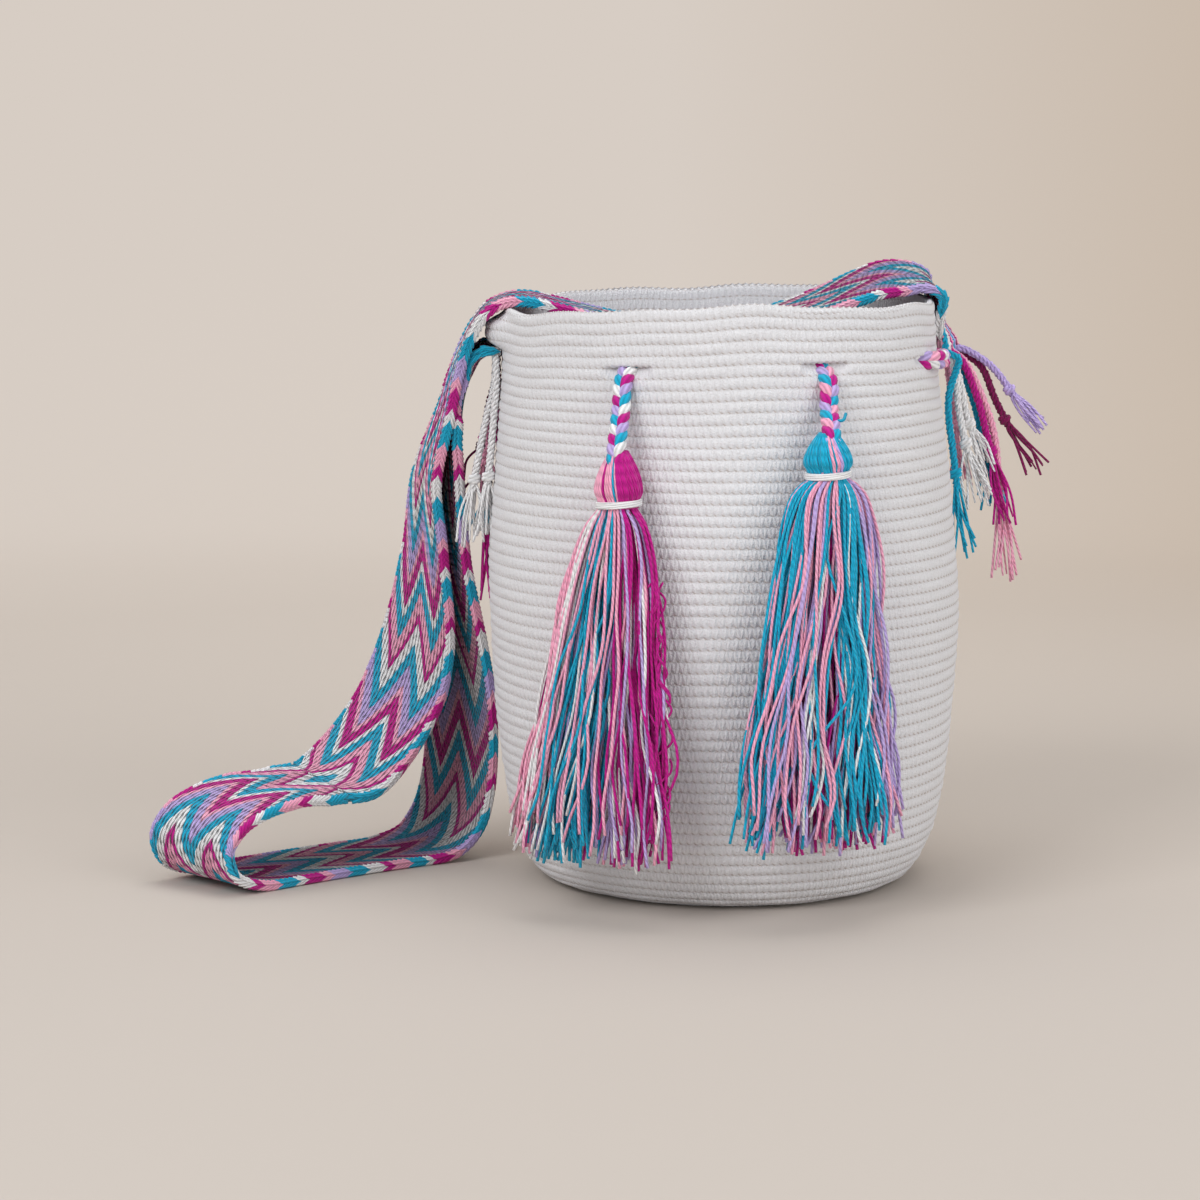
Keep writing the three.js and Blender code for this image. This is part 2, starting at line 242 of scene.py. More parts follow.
# Crinkled threads: where they start and end on the skirt, and their waves as size, start and beats
CURL_START = 0.2
CURL_ENDS = (0.65, 0.95)
CURL_POINTS = 30
CURL_RADIUS = 0.0006
CURL_EDGE = 0.96
CURL_WAVES = [(0.0045, 1, 21), (0.0028, 2, 47)]
CURL_OUT = 0.003
CURL_OUT_BEATS = 33
# A hanging plait out of its slot: outwards, share of the head's drift, and drop from the slot
PLAIT_LEAVES = [
    (-0.009, 0, 0), (-0.0035, 0, 0.001), (0.001, 0, 0.004), (0.0048, 0.1, 0.009), (0.0085, 0.35, 0.017),
]
# Its end inside the head: outwards from the head's middle, and drop from the head's top
PLAIT_ENDS = [(0.0035, 0.0025), (0.0015, 0.0095)]
PLAIT_SHIFT = 1.2
# A stray thread on a hanging plait: its end sideways and up, its bow outwards and down, and its radius
TAIL_SIDEWAYS = 0.0085
TAIL_RISE = 0.0025
TAIL_BOW = 0.004
TAIL_SAG = 0.0015
TAIL_RADIUS = 0.0008
TAIL_PLY = 0.004

# The two tassels: heights in metres, places sideways from the slot, and the skirt's spread and yarns
LEFT_TASSEL = {
    "side": "left", "angle": -TASSEL_ANGLE, "braid": 0.038, "head": 0.022, "skirt": 0.168,
    "half_width": 0.0385, "head_drift": 0.0055, "skirt_drift": -0.0075, "flare": 0.47, "parting": 0.15,
    "strands": ["magenta", "white", "blue", "lavender"], "tails": [],
    "slots": {"head": "yarn_magenta", "binding": "yarn_white", "skirt": "yarn_pink"},
}
RIGHT_TASSEL = {
    "side": "right", "angle": TASSEL_ANGLE, "braid": 0.0295, "head": 0.0165, "skirt": 0.174,
    "half_width": 0.039, "head_drift": -0.009, "skirt_drift": -0.0165, "flare": 0.33, "parting": -0.05,
    "strands": ["magenta", "pink", "blue", "lavender"], "tails": [0.62],
    "slots": {"head": "yarn_blue", "binding": "yarn_white", "skirt": "yarn_blue"},
}

# The strap's route: x, y, a height from the rim or the floor, and the heading and tilt of its width
OVER_MOUTH = [
    (0.105, 0.017, 0.0005, 8, 6), (0.101, 0.017, 0.0054, 6, 9), (0.093, 0.018, 0.008, 4, 11),
    (0.08, 0.019, 0.008, 2, 11), (0.065, 0.019, 0.003, 0, 10), (0.048, 0.018, -0.004, 0, 8),
    (0.025, 0.017, -0.011, 0, 5), (-0.002, 0.015, -0.016, 0, 2), (-0.03, 0.014, -0.016, 0, 0),
    (-0.058, 0.013, -0.011, 0, 0), (-0.082, 0.012, -0.005, 0, 0), (-0.098, 0.012, -0.0014, 0, 0),
    (-0.109, 0.012, -0.0019, 0, 0), (-0.118, 0.012, -0.0065, 1, 0), (-0.125, 0.013, -0.016, 2, 0),
    (-0.133, 0.016, -0.035, 4, 0), (-0.14, 0.02, -0.06, 7, 0), (-0.149, 0.026, -0.091, 12, 0),
]
ACROSS_FLOOR = [
    (-0.151, 0.035, 0.158, 22, 0), (-0.155, 0.039, 0.116, 38, 0), (-0.162, 0.038, 0.09, 47, 1),
    (-0.17, 0.032, 0.074, 50, 2), (-0.182, 0.021, 0.058, 53, 4), (-0.195, 0.008, 0.047, 56, 6),
    (-0.213, -0.005, 0.045, 56, 6), (-0.231, -0.019, 0.045, 54, 4), (-0.247, -0.031, 0.041, 52, 2),
    (-0.258, -0.039, 0.034, 50, 1), (-0.264, -0.043, 0.023, 48, 0), (-0.26, -0.04, 0.01, 45, 0),
    (-0.247, -0.028, 0.0034, 43, 0), (-0.226, -0.009, 0.0026, 41, 0), (-0.206, 0.008, 0.0026, 40, 0),
    (-0.183, 0.026, 0.0026, 40, 0), (-0.164, 0.039, 0.0032, 40, 0), (-0.15, 0.046, 0.008, 40, 0),
    (-0.141, 0.05, 0.019, 40, 0), (-0.136, 0.051, 0.037, 39, 0), (-0.134, 0.05, 0.063, 38, 0),
    (-0.134, 0.046, 0.089, 35, 0), (-0.136, 0.042, 0.116, 30, 0), (-0.139, 0.035, 0.158, 20, 0),
]
UP_TO_WALL = [
    (-0.138, 0.028, -0.091, 12, 0), (-0.136, 0.023, -0.066, 7, 0), (-0.132, 0.018, -0.048, 4, 0),
    (-0.127, 0.009, -0.036, 2, 0),
]

# The loose cords: each keeps its own lane in y, and passes through these places in x and z
RIGHT_FRINGE = [
    ("blue", "blue", [(0.1162, 0.259), (0.1155, 0.255), (0.1118, 0.243), (0.1114, 0.231), (0.1138, 0.213),
                      (0.117, 0.189), (0.119, 0.178), (0.122, 0.162)]),
    ("white_front", "white", [(0.114, 0.255), (0.117, 0.232), (0.121, 0.214), (0.125, 0.198),
                              (0.128, 0.187)]),
    ("white_back", "white", [(0.116, 0.252), (0.122, 0.227), (0.127, 0.216), (0.133, 0.201)]),
    ("magenta", "magenta", [(0.118, 0.258), (0.127, 0.237), (0.132, 0.218), (0.136, 0.204), (0.14, 0.188),
                            (0.143, 0.178)]),
    ("pink", "pink", [(0.12, 0.257), (0.132, 0.232), (0.136, 0.217), (0.138, 0.197), (0.14, 0.172),
                      (0.143, 0.149)]),
    ("teal", "blue", [(0.118, 0.254), (0.125, 0.237), (0.129, 0.22), (0.131, 0.202), (0.135, 0.184)]),
    ("lavender", "lavender", [(0.119, 0.263), (0.133, 0.255), (0.143, 0.243), (0.15, 0.232), (0.159, 0.222)]),
    ("burgundy", "burgundy", [(0.119, 0.261), (0.129, 0.254), (0.137, 0.236), (0.146, 0.22), (0.155, 0.21),
                              (0.16, 0.203)]),
    ("rose", "pink", [(0.113, 0.254), (0.116, 0.236), (0.119, 0.216), (0.123, 0.196)]),
]
LEFT_FRINGE = [
    ("white_front", "white", [(-0.1138, 0.248), (-0.1152, 0.23), (-0.117, 0.21), (-0.1192, 0.19),
                              (-0.1203, 0.173)]),
    ("white_back", "white", [(-0.115, 0.246), (-0.118, 0.234), (-0.121, 0.22), (-0.124, 0.205),
                             (-0.1265, 0.19), (-0.1275, 0.17)]),
    ("wall", "magenta", [(-0.1138, 0.249), (-0.1146, 0.236), (-0.1162, 0.218)]),
    ("pink", "pink", [(-0.1148, 0.246), (-0.1166, 0.229), (-0.119, 0.204), (-0.12, 0.187)]),
    ("blue", "blue", [(-0.115, 0.246), (-0.1172, 0.224), (-0.1188, 0.205), (-0.1198, 0.189),
                      (-0.1204, 0.174)]),
    ("plum", "burgundy", [(-0.114, 0.25), (-0.1175, 0.238), (-0.1215, 0.215), (-0.125, 0.193)]),
    ("magenta", "magenta", [(-0.114, 0.244), (-0.116, 0.223), (-0.118, 0.203), (-0.1195, 0.178),
                            (-0.1205, 0.157), (-0.121, 0.141)]),
]

# Colours as they look, in sRGB
CREAM = (230, 229, 232)
# A darker cream: painted shade in the valleys between crochet rows, and the colour of random darker specks
CREAM_SHADE_AND_SPECK = (176, 160, 150)
YARNS = {
    "blue": (10, 176, 214),
    "white": (248, 247, 248),
    "magenta": (200, 8, 142),
    "pink": (255, 178, 206),
    "lavender": (198, 176, 232),
    # burgundy: the magenta yarn painted darker, as painted shade
    "burgundy": (136, 10, 86),
}
YARN_LETTERS = {"B": "blue", "W": "white", "M": "magenta", "K": "pink", "P": "lavender"}
# Backdrop: the far wall's paler colour is painted light, and the darker far right is painted shade
FLOOR = (195, 186, 178)
FAR_WALL = (214, 204, 195)
FAR_RIGHT_SHADE = (194, 177, 159)
BLACK = (0, 0, 0, 1)

# Looks of the strap's yarn and of the crochet, as shares
GROOVE_SHARPNESS = 3.5
# Painted shade that darkens the strap's whole inner face, as a share
INNER_FACE_SHADE = 0.35
V_FOOT = 0.06
V_SPREAD = 0.34
V_SLOPE = 4.0
# Row valleys of the crochet: the sharpness and shares of their painted shade, as dots and a line, and of
# random darker specks
VALLEY_SHARPNESS = 8.0
DOT_SHARPNESS = 2.0
DOT_SHADE_SHARE = 0.7
VALLEY_SHADE_SHARE = 0.25
SPECK_SHARE = 0.35

# Stage. Each change of the floor's colour starts at a distance in metres, and grows by a share for each
# metre: painted shade to the right, painted light up the wall and towards the back, and the glow past the
# lamps
TO_RIGHT = (0, 1.3)
UP_WALL = (0, 7)
TO_BACK = (0.2, 0.8)
PAST_LAMPS = (1, 1.25)
FLOOR_HALF = 4
BEND_START = 1.2
BEND_RADIUS = 0.6
BEND_STEPS = 13
WORLD_COLOUR = (0.95, 0.98, 1, 1)
WORLD_STRENGTH = 0.62
# Lamps: name, place, target, size, power and colour
LAMPS = [
    ("key", (-1.5, -1.9, 1.8), (0, 0, 0.15), 1.3, 32, (0.98, 0.99, 1)),
    ("fill", (1.7, -1.6, 1.0), (0, 0, 0.15), 1.8, 19, (0.98, 0.99, 1)),
    ("top", (0, 0.3, 2.2), (0, 0, 0), 1.6, 16, (1, 0.99, 0.97)),
]


def weld(mesh):
    """Join the corners that lie on each other."""
    shape = bmesh.new()
    shape.from_mesh(mesh)
    bmesh.ops.remove_doubles(shape, verts=shape.verts, dist=WELD_DISTANCE)
    shape.to_mesh(mesh)
    shape.free()


def linear(colour):
    shares = [channel / 255 for channel in colour]
    return [s / 12.92 if s <= 0.04045 else ((s + 0.055) / 1.055) ** 2.4 for s in shares] + [1]


def yarn_number(name):
    return list(YARNS).index(name)


# Paths


def smooth_path(points, steps):
    """Centripetal curve through the points, with this many steps from each point to the next."""
    inner = np.asarray(points, float)
    p = np.vstack([2 * inner[0] - inner[1], inner, 2 * inner[-1] - inner[-2]])
    share = np.linspace(0, 1, steps, endpoint=False)[:, None]
    pieces = []
    for p0, p1, p2, p3 in zip(p, p[1:], p[2:], p[3:]):
        g0, g1, g2 = (math.sqrt(np.linalg.norm(b - a)) for a, b in ((p0, p1), (p1, p2), (p2, p3)))
        m1 = g1 * ((p1 - p0) / g0 - (p2 - p0) / (g0 + g1) + (p2 - p1) / g1)
        m2 = g1 * ((p2 - p1) / g1 - (p3 - p1) / (g1 + g2) + (p3 - p2) / g2)
        cube = share ** 3
        square = share ** 2
        start = (2 * cube - 3 * square + 1) * p1 + (cube - 2 * square + share) * m1
        end = (3 * square - 2 * cube) * p2 + (cube - square) * m2
        pieces.append(start + end)
    return np.vstack(pieces + [inner[-1:]])


def distances(path):
    return np.concatenate([[0], np.cumsum(np.linalg.norm(np.diff(path, axis=0), axis=1))])


def resample(path, step):
    """Points on the path, an even step apart."""
    along = distances(path)
    count = max(4, round(along[-1] / step))
    places = np.linspace(0, along[-1], count + 1)
    return np.stack([np.interp(places, along, path[:, axis]) for axis in range(3)], axis=1)


def between(low, high, share):
    return low + (high - low) * share


def unit(vectors):
    return vectors / np.linalg.norm(vectors, axis=-1, keepdims=True)


def frames(path):
    """Tangent and two steady side directions at each point of a path."""
    tangents = unit(np.gradient(path, axis=0))
    side = np.cross(tangents[0], (0, 0, 1) if abs(tangents[0][2]) < 0.9 else (0, 1, 0))
    sides = []
    for tangent in tangents:
        side = unit(side - tangent * side.dot(tangent))
        sides.append(side)
    sides = np.array(sides)
    return tangents, sides, np.cross(tangents, sides)


# Meshes


class Weave:
    """Collects grids of points into one mesh with a material for each face."""

    def __init__(self):
        self.points, self.faces, self.colours, self.places = [], [], [], []
        self.count = 0

    def grid(self, points, colour, places, closed=False, flip=False, keep=None):
        """Faces between neighbouring points, with the places that the materials read."""
        rows, columns = points.shape[:2]
        index = np.arange(rows * columns).reshape(rows, columns) + self.count
        if closed:
            index = np.hstack([index, index[:, :1]])
        corners = [index[:-1, :-1], index[:-1, 1:], index[1:, 1:], index[1:, :-1]]
        spots = [places[:-1, :-1], places[:-1, 1:], places[1:, 1:], places[1:, :-1]]
        if flip:
            corners.reverse()
            spots.reverse()
        faces = np.stack(corners, axis=-1).reshape(-1, 4)
        spots = np.stack(spots, axis=-2).reshape(-1, 4, 2)
        colours = np.broadcast_to(colour, (rows - 1, index.shape[1] - 1)).reshape(-1)
        if keep is not None:
            chosen = keep.reshape(-1)
            faces, spots, colours = faces[chosen], spots[chosen], colours[chosen]
        self.points.append(points.reshape(-1, 3))
        self.faces.append(faces)
        self.places.append(spots)
        self.colours.append(colours)
        self.count += rows * columns

    def tube(self, path, radius, colour, sides, pitch):
        """A round thread along a path, nearly closed at both ends. Its plies turn once in each pitch."""
        _, side, other = frames(path)
        size = np.broadcast_to(radius, len(path))
        size = np.concatenate([TIP_SHARE * size[:1], size, TIP_SHARE * size[-1:]])
        path = np.vstack([path[:1], path, path[-1:]])
        side = np.vstack([side[:1], side, side[-1:]])
        other = np.vstack([other[:1], other, other[-1:]])
        turn = np.arange(sides) * math.tau / sides
        spokes = side[:, None] * np.cos(turn)[None, :, None] + other[:, None] * np.sin(turn)[None, :, None]
        points = path[:, None] + spokes * size[:, None, None]
        run = distances(path) / pitch
        around = np.arange(sides + 1) / sides
        places = np.stack(np.meshgrid(run, around, indexing="ij"), axis=-1)
        self.grid(points, colour, places, closed=True)

    def build(self, name, materials):
        points = np.vstack(self.points)
        faces = np.vstack(self.faces)
        mesh = bpy.data.meshes.new(name)
        mesh.vertices.add(len(points))
        mesh.vertices.foreach_set("co", points.astype(np.float32).ravel())
        mesh.loops.add(faces.size)
        mesh.loops.foreach_set("vertex_index", faces.astype(np.int32).ravel())
        mesh.polygons.add(len(faces))
        mesh.polygons.foreach_set("loop_start", np.arange(0, faces.size, 4, dtype=np.int32))
        mesh.polygons.foreach_set("loop_total", np.full(len(faces), 4, dtype=np.int32))
        mesh.polygons.foreach_set("material_index", np.concatenate(self.colours).astype(np.int32))
        mesh.polygons.foreach_set("use_smooth", np.ones(len(faces), dtype=bool))
        mesh.update(calc_edges=True)
        layer = mesh.uv_layers.new(name="places")
        layer.data.foreach_set("uv", np.vstack(self.places).astype(np.float32).ravel())
        for material in materials:
            mesh.materials.append(material)
        piece = bpy.data.objects.new(name, mesh)
        bpy.context.scene.collection.objects.link(piece)
        return piece

    def piece(self, name, materials, body, slot):
        """Builds the mesh as a piece that moves with a body."""
        piece = self.build(name, materials)
        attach(piece, body)
        return piece


# Materials


class Signal:
    """A number in a node tree, so that sums of nodes read like plain ones."""

    def __init__(self, socket):
        self.socket = socket

    def apply(self, operation, *others):
        tree = self.socket.id_data
        node = tree.nodes.new("ShaderNodeMath")
        node.operation = operation
        for socket, value in zip(node.inputs, (self, *others)):
            if isinstance(value, Signal):
                tree.links.new(value.socket, socket)
            else:
                socket.default_value = value
        return Signal(node.outputs[0])

    def __add__(self, other):
        return self.apply("ADD", other)

    def __sub__(self, other):
        return self.apply("SUBTRACT", other)

    def __rsub__(self, other):
        return self * -1 + other

    def __mul__(self, other):
        return self.apply("MULTIPLY", other)

    def __pow__(self, power):
        return self.apply("POWER", power)

    def __abs__(self):
        return self.apply("ABSOLUTE")

    def clamp(self):
        return self.apply("MAXIMUM", 0).apply("MINIMUM", 1)


def blend_colour(share, low, high):
    tree = share.socket.id_data
    node = tree.nodes.new("ShaderNodeMix")
    node.data_type = "RGBA"
    tree.links.new(share.socket, node.inputs["Factor"])
    for socket, colour in (("A", low), ("B", high)):
        if isinstance(colour, bpy.types.NodeSocket):
            tree.links.new(colour, node.inputs[socket])
        else:
            node.inputs[socket].default_value = colour
    return node.outputs["Result"]


def cloth(name, roughness, sheen):
    """A cloth material and its shader, and the two coordinates that its meshes carry."""
    material = bpy.data.materials.new(name)
    material.use_nodes = True
    tree = material.node_tree
    shader = tree.nodes["Principled BSDF"]
    shader.inputs["Roughness"].default_value = roughness
    shader.inputs["Specular IOR Level"].default_value = 0.2
    shader.inputs["Sheen Weight"].default_value = sheen
    shader.inputs["Sheen Roughness"].default_value = 0.6
    spot = tree.nodes.new("ShaderNodeUVMap")
    split = tree.nodes.new("ShaderNodeSeparateXYZ")
    tree.links.new(spot.outputs["UV"], split.inputs[0])
    return material, shader, Signal(split.outputs["X"]), Signal(split.outputs["Y"])


def emboss(shader, height, depth, strength):
    tree = shader.id_data
    node = tree.nodes.new("ShaderNodeBump")
    node.inputs["Strength"].default_value = strength
    node.inputs["Distance"].default_value = depth
    tree.links.new(height.socket, node.inputs["Height"])
    tree.links.new(node.outputs["Normal"], shader.inputs["Normal"])


def fibres(shader, scale, amount):
    """Fine noise round zero."""
    tree = shader.id_data
    place = tree.nodes.new("ShaderNodeTexCoord")
    noise = tree.nodes.new("ShaderNodeTexNoise")
    noise.inputs["Scale"].default_value = scale
    noise.inputs["Detail"].default_value = 3
    tree.links.new(place.outputs["Object"], noise.inputs["Vector"])
    return (Signal(noise.outputs["Fac"]) - 0.5) * amount


def wave(phase):
    """A wave from 0 to 1, one for each whole step of the phase."""
    return (phase * math.tau).apply("SINE") * 0.5 + 0.5


def from_middle(share):
    """0 at the middle of a share that goes from 0 to 1, and 1 at both of its ends."""
    return abs(share * 2 - 1)


def ramp(distance, start, growth):
    """A share that grows from 0 to 1 with the distance past a start."""
    return ((distance - start) * growth).clamp()


def paint(shader, share, low, high):
    shader.id_data.links.new(blend_colour(share, low, high), shader.inputs["Base Color"])


# A yarn's colour darkened by a share: the painted shade in its grooves
def shaded(colour, share):
    return [channel * share for channel in linear(colour)[:3]] + [1]


def thread_material(name, colour, plies, depth):
    """Yarn whose plies wind round the thread, with painted shade in the grooves between the plies."""
    material, shader, along, around = cloth(name, roughness=0.85, sheen=0.15)
    tone = wave(around * plies + along) + fibres(shader, scale=900, amount=0.5)
    light = tone.apply("MAXIMUM", 0).apply("SQRT")
    paint(shader, light, shaded(colour, share=0.6), linear(colour))
    emboss(shader, tone, depth, strength=0.7)
    return material


def strand_material(name, colour):
    """Yarn of the strap: outer stitches that lean from each strand to the next, and inner beads, with painted
    shade in their grooves and over the whole inner face.
    """
    material, shader, along, across = cloth(name, roughness=0.88, sheen=0.15)
    inner = across.apply("GREATER_THAN", INNER_FACE / 2)
    stitch = 1 - from_middle((across - along).apply("FRACT")) ** GROOVE_SHARPNESS
    bead = abs((along * (BEADS_PER_STITCH * math.pi)).apply("SINE"))
    tone = stitch * (1 - inner) + bead * inner + fibres(shader, scale=1500, amount=0.7)
    # The grooves darken to painted shade, and painted shade dims the whole inner face
    light = tone.clamp() * (1 - inner * INNER_FACE_SHADE)
    paint(shader, light, shaded(colour, share=0.34), linear(colour))
    emboss(shader, tone, depth=0.0013, strength=1)
    return material


def crochet_material():
    """Cotton stitches: each is a V, and a warm dotted line of painted shade shows in the valleys between the
    rows, with random darker specks.
    """
    material, shader, stitch, row = cloth("cream_crochet", roughness=0.92, sheen=0.1)
    rise = row.apply("FRACT")
    from_centre = abs(stitch.apply("FRACT") - 0.5)
    from_leg = abs(from_centre - (rise * V_SPREAD + V_FOOT))
    fuzz = fibres(shader, scale=1300, amount=2.2)
    valley = from_middle(rise) ** VALLEY_SHARPNESS
    dots = wave(stitch) ** DOT_SHARPNESS
    specks = fuzz.apply("MAXIMUM", 0) * SPECK_SHARE
    # Painted shade in the row valleys, as dots and a line, plus random darker specks
    share = (valley * (dots * DOT_SHADE_SHARE + VALLEY_SHADE_SHARE) + specks).clamp()
    paint(shader, share, linear(CREAM), linear(CREAM_SHADE_AND_SPECK))
    emboss(shader, 1 - from_leg * V_SLOPE + fuzz, depth=0.0006, strength=0.6)
    return material


def seen_directly(tree):
    """One for rays from the camera, and for those that it sees mirrored or through glass."""
    ray = tree.nodes.new("ShaderNodeLightPath").outputs
    mirrored = Signal(ray["Is Glossy Ray"]).apply("MAXIMUM", Signal(ray["Is Transmission Ray"]))
    return mirrored.apply("MAXIMUM", Signal(ray["Is Camera Ray"]))


def backdrop_material():
    """A pale floor that turns lighter with distance and up the far wall, as painted light where the lamps'
    light falls off, and a little darker to the right, as painted shade.

    Past the lamps' reach it glows in the far wall's colour, so that no dark ground shows from behind.
    """
    material, shader, _, _ = cloth("pale_floor", roughness=0.95, sheen=0)
    tree = material.node_tree
    place = tree.nodes.new("ShaderNodeTexCoord").outputs["Object"]
    split = tree.nodes.new("ShaderNodeSeparateXYZ")
    tree.links.new(place, split.inputs[0])
    x, y, z = (Signal(output) for output in split.outputs)
    distance = tree.nodes.new("ShaderNodeVectorMath")
    distance.operation = "LENGTH"
    tree.links.new(place, distance.inputs[0])
    far = blend_colour(ramp(x, *TO_RIGHT), linear(FAR_WALL), linear(FAR_RIGHT_SHADE))
    lit = blend_colour((ramp(z, *UP_WALL) + ramp(y, *TO_BACK)).clamp(), linear(FLOOR), far)
    glow = ramp(Signal(distance.outputs["Value"]), *PAST_LAMPS) * seen_directly(tree)
    paint(shader, glow, lit, BLACK)
    tree.links.new(blend_colour(glow, BLACK, far), shader.inputs["Emission Color"])
    shader.inputs["Emission Strength"].default_value = 1
    return material


# Bag body

wall_curve = smooth_path([(radius, 0, height) for radius, height in PROFILE], steps=40)
wall_run = distances(wall_curve)


def wall_at(run):
    """Radius and height of the wall at a distance along its profile."""
    return np.interp(run, wall_run, wall_curve[:, 0]), np.interp(run, wall_run, wall_curve[:, 2])


def settle(points):
    """The soft bag leans a little to the left, and its rim is wavy and dips there under the strap."""
    points = np.asarray(points, float).copy()
    share = points[..., 2] / RIM_HEIGHT
    reach = np.maximum(np.hypot(points[..., 0], points[..., 1]), CENTRE_RADIUS)
    leftward = np.maximum(0, -points[..., 0] / reach)
    turn = np.arctan2(points[..., 0], -points[..., 1])
    wave_up = sum(size * np.sin(count * turn + start) for count, start, size in RIM_WAVES)
    points[..., 0] += RIM_LEAN * share ** 2
    points[..., 2] += RIM_WAVE * wave_up * share ** 8 - RIM_DIP * leftward ** 2 * share ** 4
    return points


def outward(angle):
    turn = math.radians(angle)
    return np.array([math.sin(turn), -math.cos(turn), 0])


def wall_point(angle, height, out):
    """A point outside the wall, at an angle counted from the front towards the right."""
    run = np.interp(height, wall_curve[:, 2], wall_run)
    radius = wall_at(run)[0] + out
    return settle(outward(angle) * radius + np.array([0, 0, height]))


SLOT_ANGLES = [TASSEL_ANGLE, -TASSEL_ANGLE] + [angle for span in OUTSIDE_SPANS for angle in span]


def swing(angles, middle):
    """Degrees from a middle angle, the short way round."""
    return (np.degrees(angles) - middle + 180) % 360 - 180


def slit(angles, heights, radius):
    """How far the wall is pressed in at each place, under the upper lip of each drawstring slot."""
    depth = np.zeros(np.broadcast(angles, heights).shape)
    for slot in SLOT_ANGLES:
        across = np.radians(swing(angles, slot)) * radius / SLIT_HALF_LENGTH
        below = SLOT_HEIGHT + SLIT_RISE - heights
        fall = np.where(below > 0, np.clip(1 - below / SLIT_FALL, 0, 1), 0)
        depth += SLIT_DEPTH * fall * np.sqrt(np.clip(1 - across ** 2, 0, 1))
    return depth


def lobe(angles, heights):
    """How far the wall swells out at each place."""
    around = swing(angles, LOBE_ANGLE) / LOBE_HALF_ANGLE
    upward = (heights - LOBE_HEIGHT) / LOBE_HALF_HEIGHT
    return LOBE_OUT * np.exp(-(around ** 2) - upward ** 4)


def crochet_wall(first_row, last_row):
    """A band of crochet rows on the outside of the wall: each stitch is a small bump in its row."""
    steps = np.arange(first_row * SAMPLES_PER_ROW, last_row * SAMPLES_PER_ROW + 1)
    rows = (steps / SAMPLES_PER_ROW)[:, None]
    row_number = (steps // SAMPLES_PER_ROW)[:, None]
    samples = np.arange(STITCHES * SAMPLES_PER_STITCH)
    columns = samples / SAMPLES_PER_STITCH
    run = steps / SAMPLES_PER_ROW / ROWS * wall_run[-1]
    radius, height = wall_at(run)
    slope_r = np.gradient(radius, run)[:, None]
    slope_z = np.gradient(height, run)[:, None]
    radius = radius[:, None]
    height = height[:, None]
    angles = columns / STITCHES * math.tau
    valley = np.abs(2 * (rows % 1) - 1) ** RIB_ROUNDNESS
    seam = (samples + row_number) % SAMPLES_PER_STITCH == 0
    stitch = (samples + row_number) // SAMPLES_PER_STITCH
    stitch_beat, row_beat = JITTER_BEATS
    jitter = STITCH_JITTER * np.sin(stitch_beat * stitch + row_beat * row_number ** JITTER_POWER)
    bump = 1 - valley * np.where(seam, 1, MID_STITCH_VALLEY) - STITCH_DIP * seam
    relief = RIB_HEIGHT * (bump - RIB_SEAT) + jitter * (1 - valley)
    relief += WALL_WAVE * np.sin(WALL_WAVES * angles + WALL_TURN * rows) * np.sin(WALL_BEAT * rows)
    relief += lobe(angles, height) - slit(angles, height, radius)
    sag = ROW_WAVE * np.sin(ROW_WAVES * angles + ROW_TURN * rows)
    scallop = SCALLOP * seam * valley
    far = radius + relief * slope_z
    high = height - relief * slope_r + (sag + scallop) * np.clip(height / ROW_WAVE_FADE, 0, 1)
    points = np.stack([far * np.sin(angles), -far * np.cos(angles), np.maximum(high, 0)], axis=-1)
    stitch_places = np.append(columns, STITCHES) + row_number / SAMPLES_PER_STITCH
    spots = np.stack([stitch_places, np.broadcast_to(rows, stitch_places.shape)], axis=-1)
    weave = Weave()
    weave.grid(settle(points), 0, spots, closed=True)
    return weave


def ring_grid(weave, outline, rows, columns=STITCHES, chain=0.0):
    """Turns an outline of radius and height into rings, for the rim, the inside and the base."""
    angles = np.arange(columns) / columns * math.tau
    radius = np.array([point[0] for point in outline])[:, None]
    height = np.array([point[1] for point in outline])[:, None] + chain * (-1.0) ** np.arange(columns)
    points = np.stack([radius * np.sin(angles), -radius * np.cos(angles), height], axis=-1)
    stitches = np.arange(columns + 1) * STITCHES / columns
    spots = np.stack(np.meshgrid(rows, stitches, indexing="ij")[::-1], axis=-1)
    weave.grid(settle(points), 0, spots, closed=True)


def lining_rows():
    """The wall's inside: ribs a wall's thickness in, from the rim down to the floor of the bag."""
    outline = []
    rows = []
    for half_row in range(2 * ROWS, LOWEST_HALF_ROW - 1, -1):
        run = half_row / (2 * ROWS) * wall_run[-1]
        radius, height = wall_at(run)
        rib = RIB_HEIGHT * (half_row % 2)
        below_rim = min((RIM_HEIGHT - height) / RIM_TAPER, 1)
        thick = between(RIM_THICK, WALL, below_rim)
        outline.append((radius - thick - rib, max(height, WALL)))
        rows.append(half_row / 2)
    return outline, rows


def base_rings():
    """The base: rings from the wall's foot to the centre."""
    outline = []
    for ring in range(BASE_RINGS + 1):
        radius = PROFILE[0][0] * (1 - ring / BASE_RINGS) + CENTRE_RADIUS
        outline.append((radius, BASE_RIB * (ring % 2)))
    return outline, np.arange(BASE_RINGS + 1) / 2


def rim_curl():
    """The chain along the rim, rounded over the wall's thin edge."""
    half = RIM_THICK / 2
    radius = PROFILE[-1][0] - half
    bend = np.radians(np.linspace(*RIM_CURL, RIM_STEPS))
    outline = [(radius + half * math.cos(turn), RIM_HEIGHT - half + half * math.sin(turn)) for turn in bend]
    return outline, np.linspace(0, 1, RIM_STEPS)


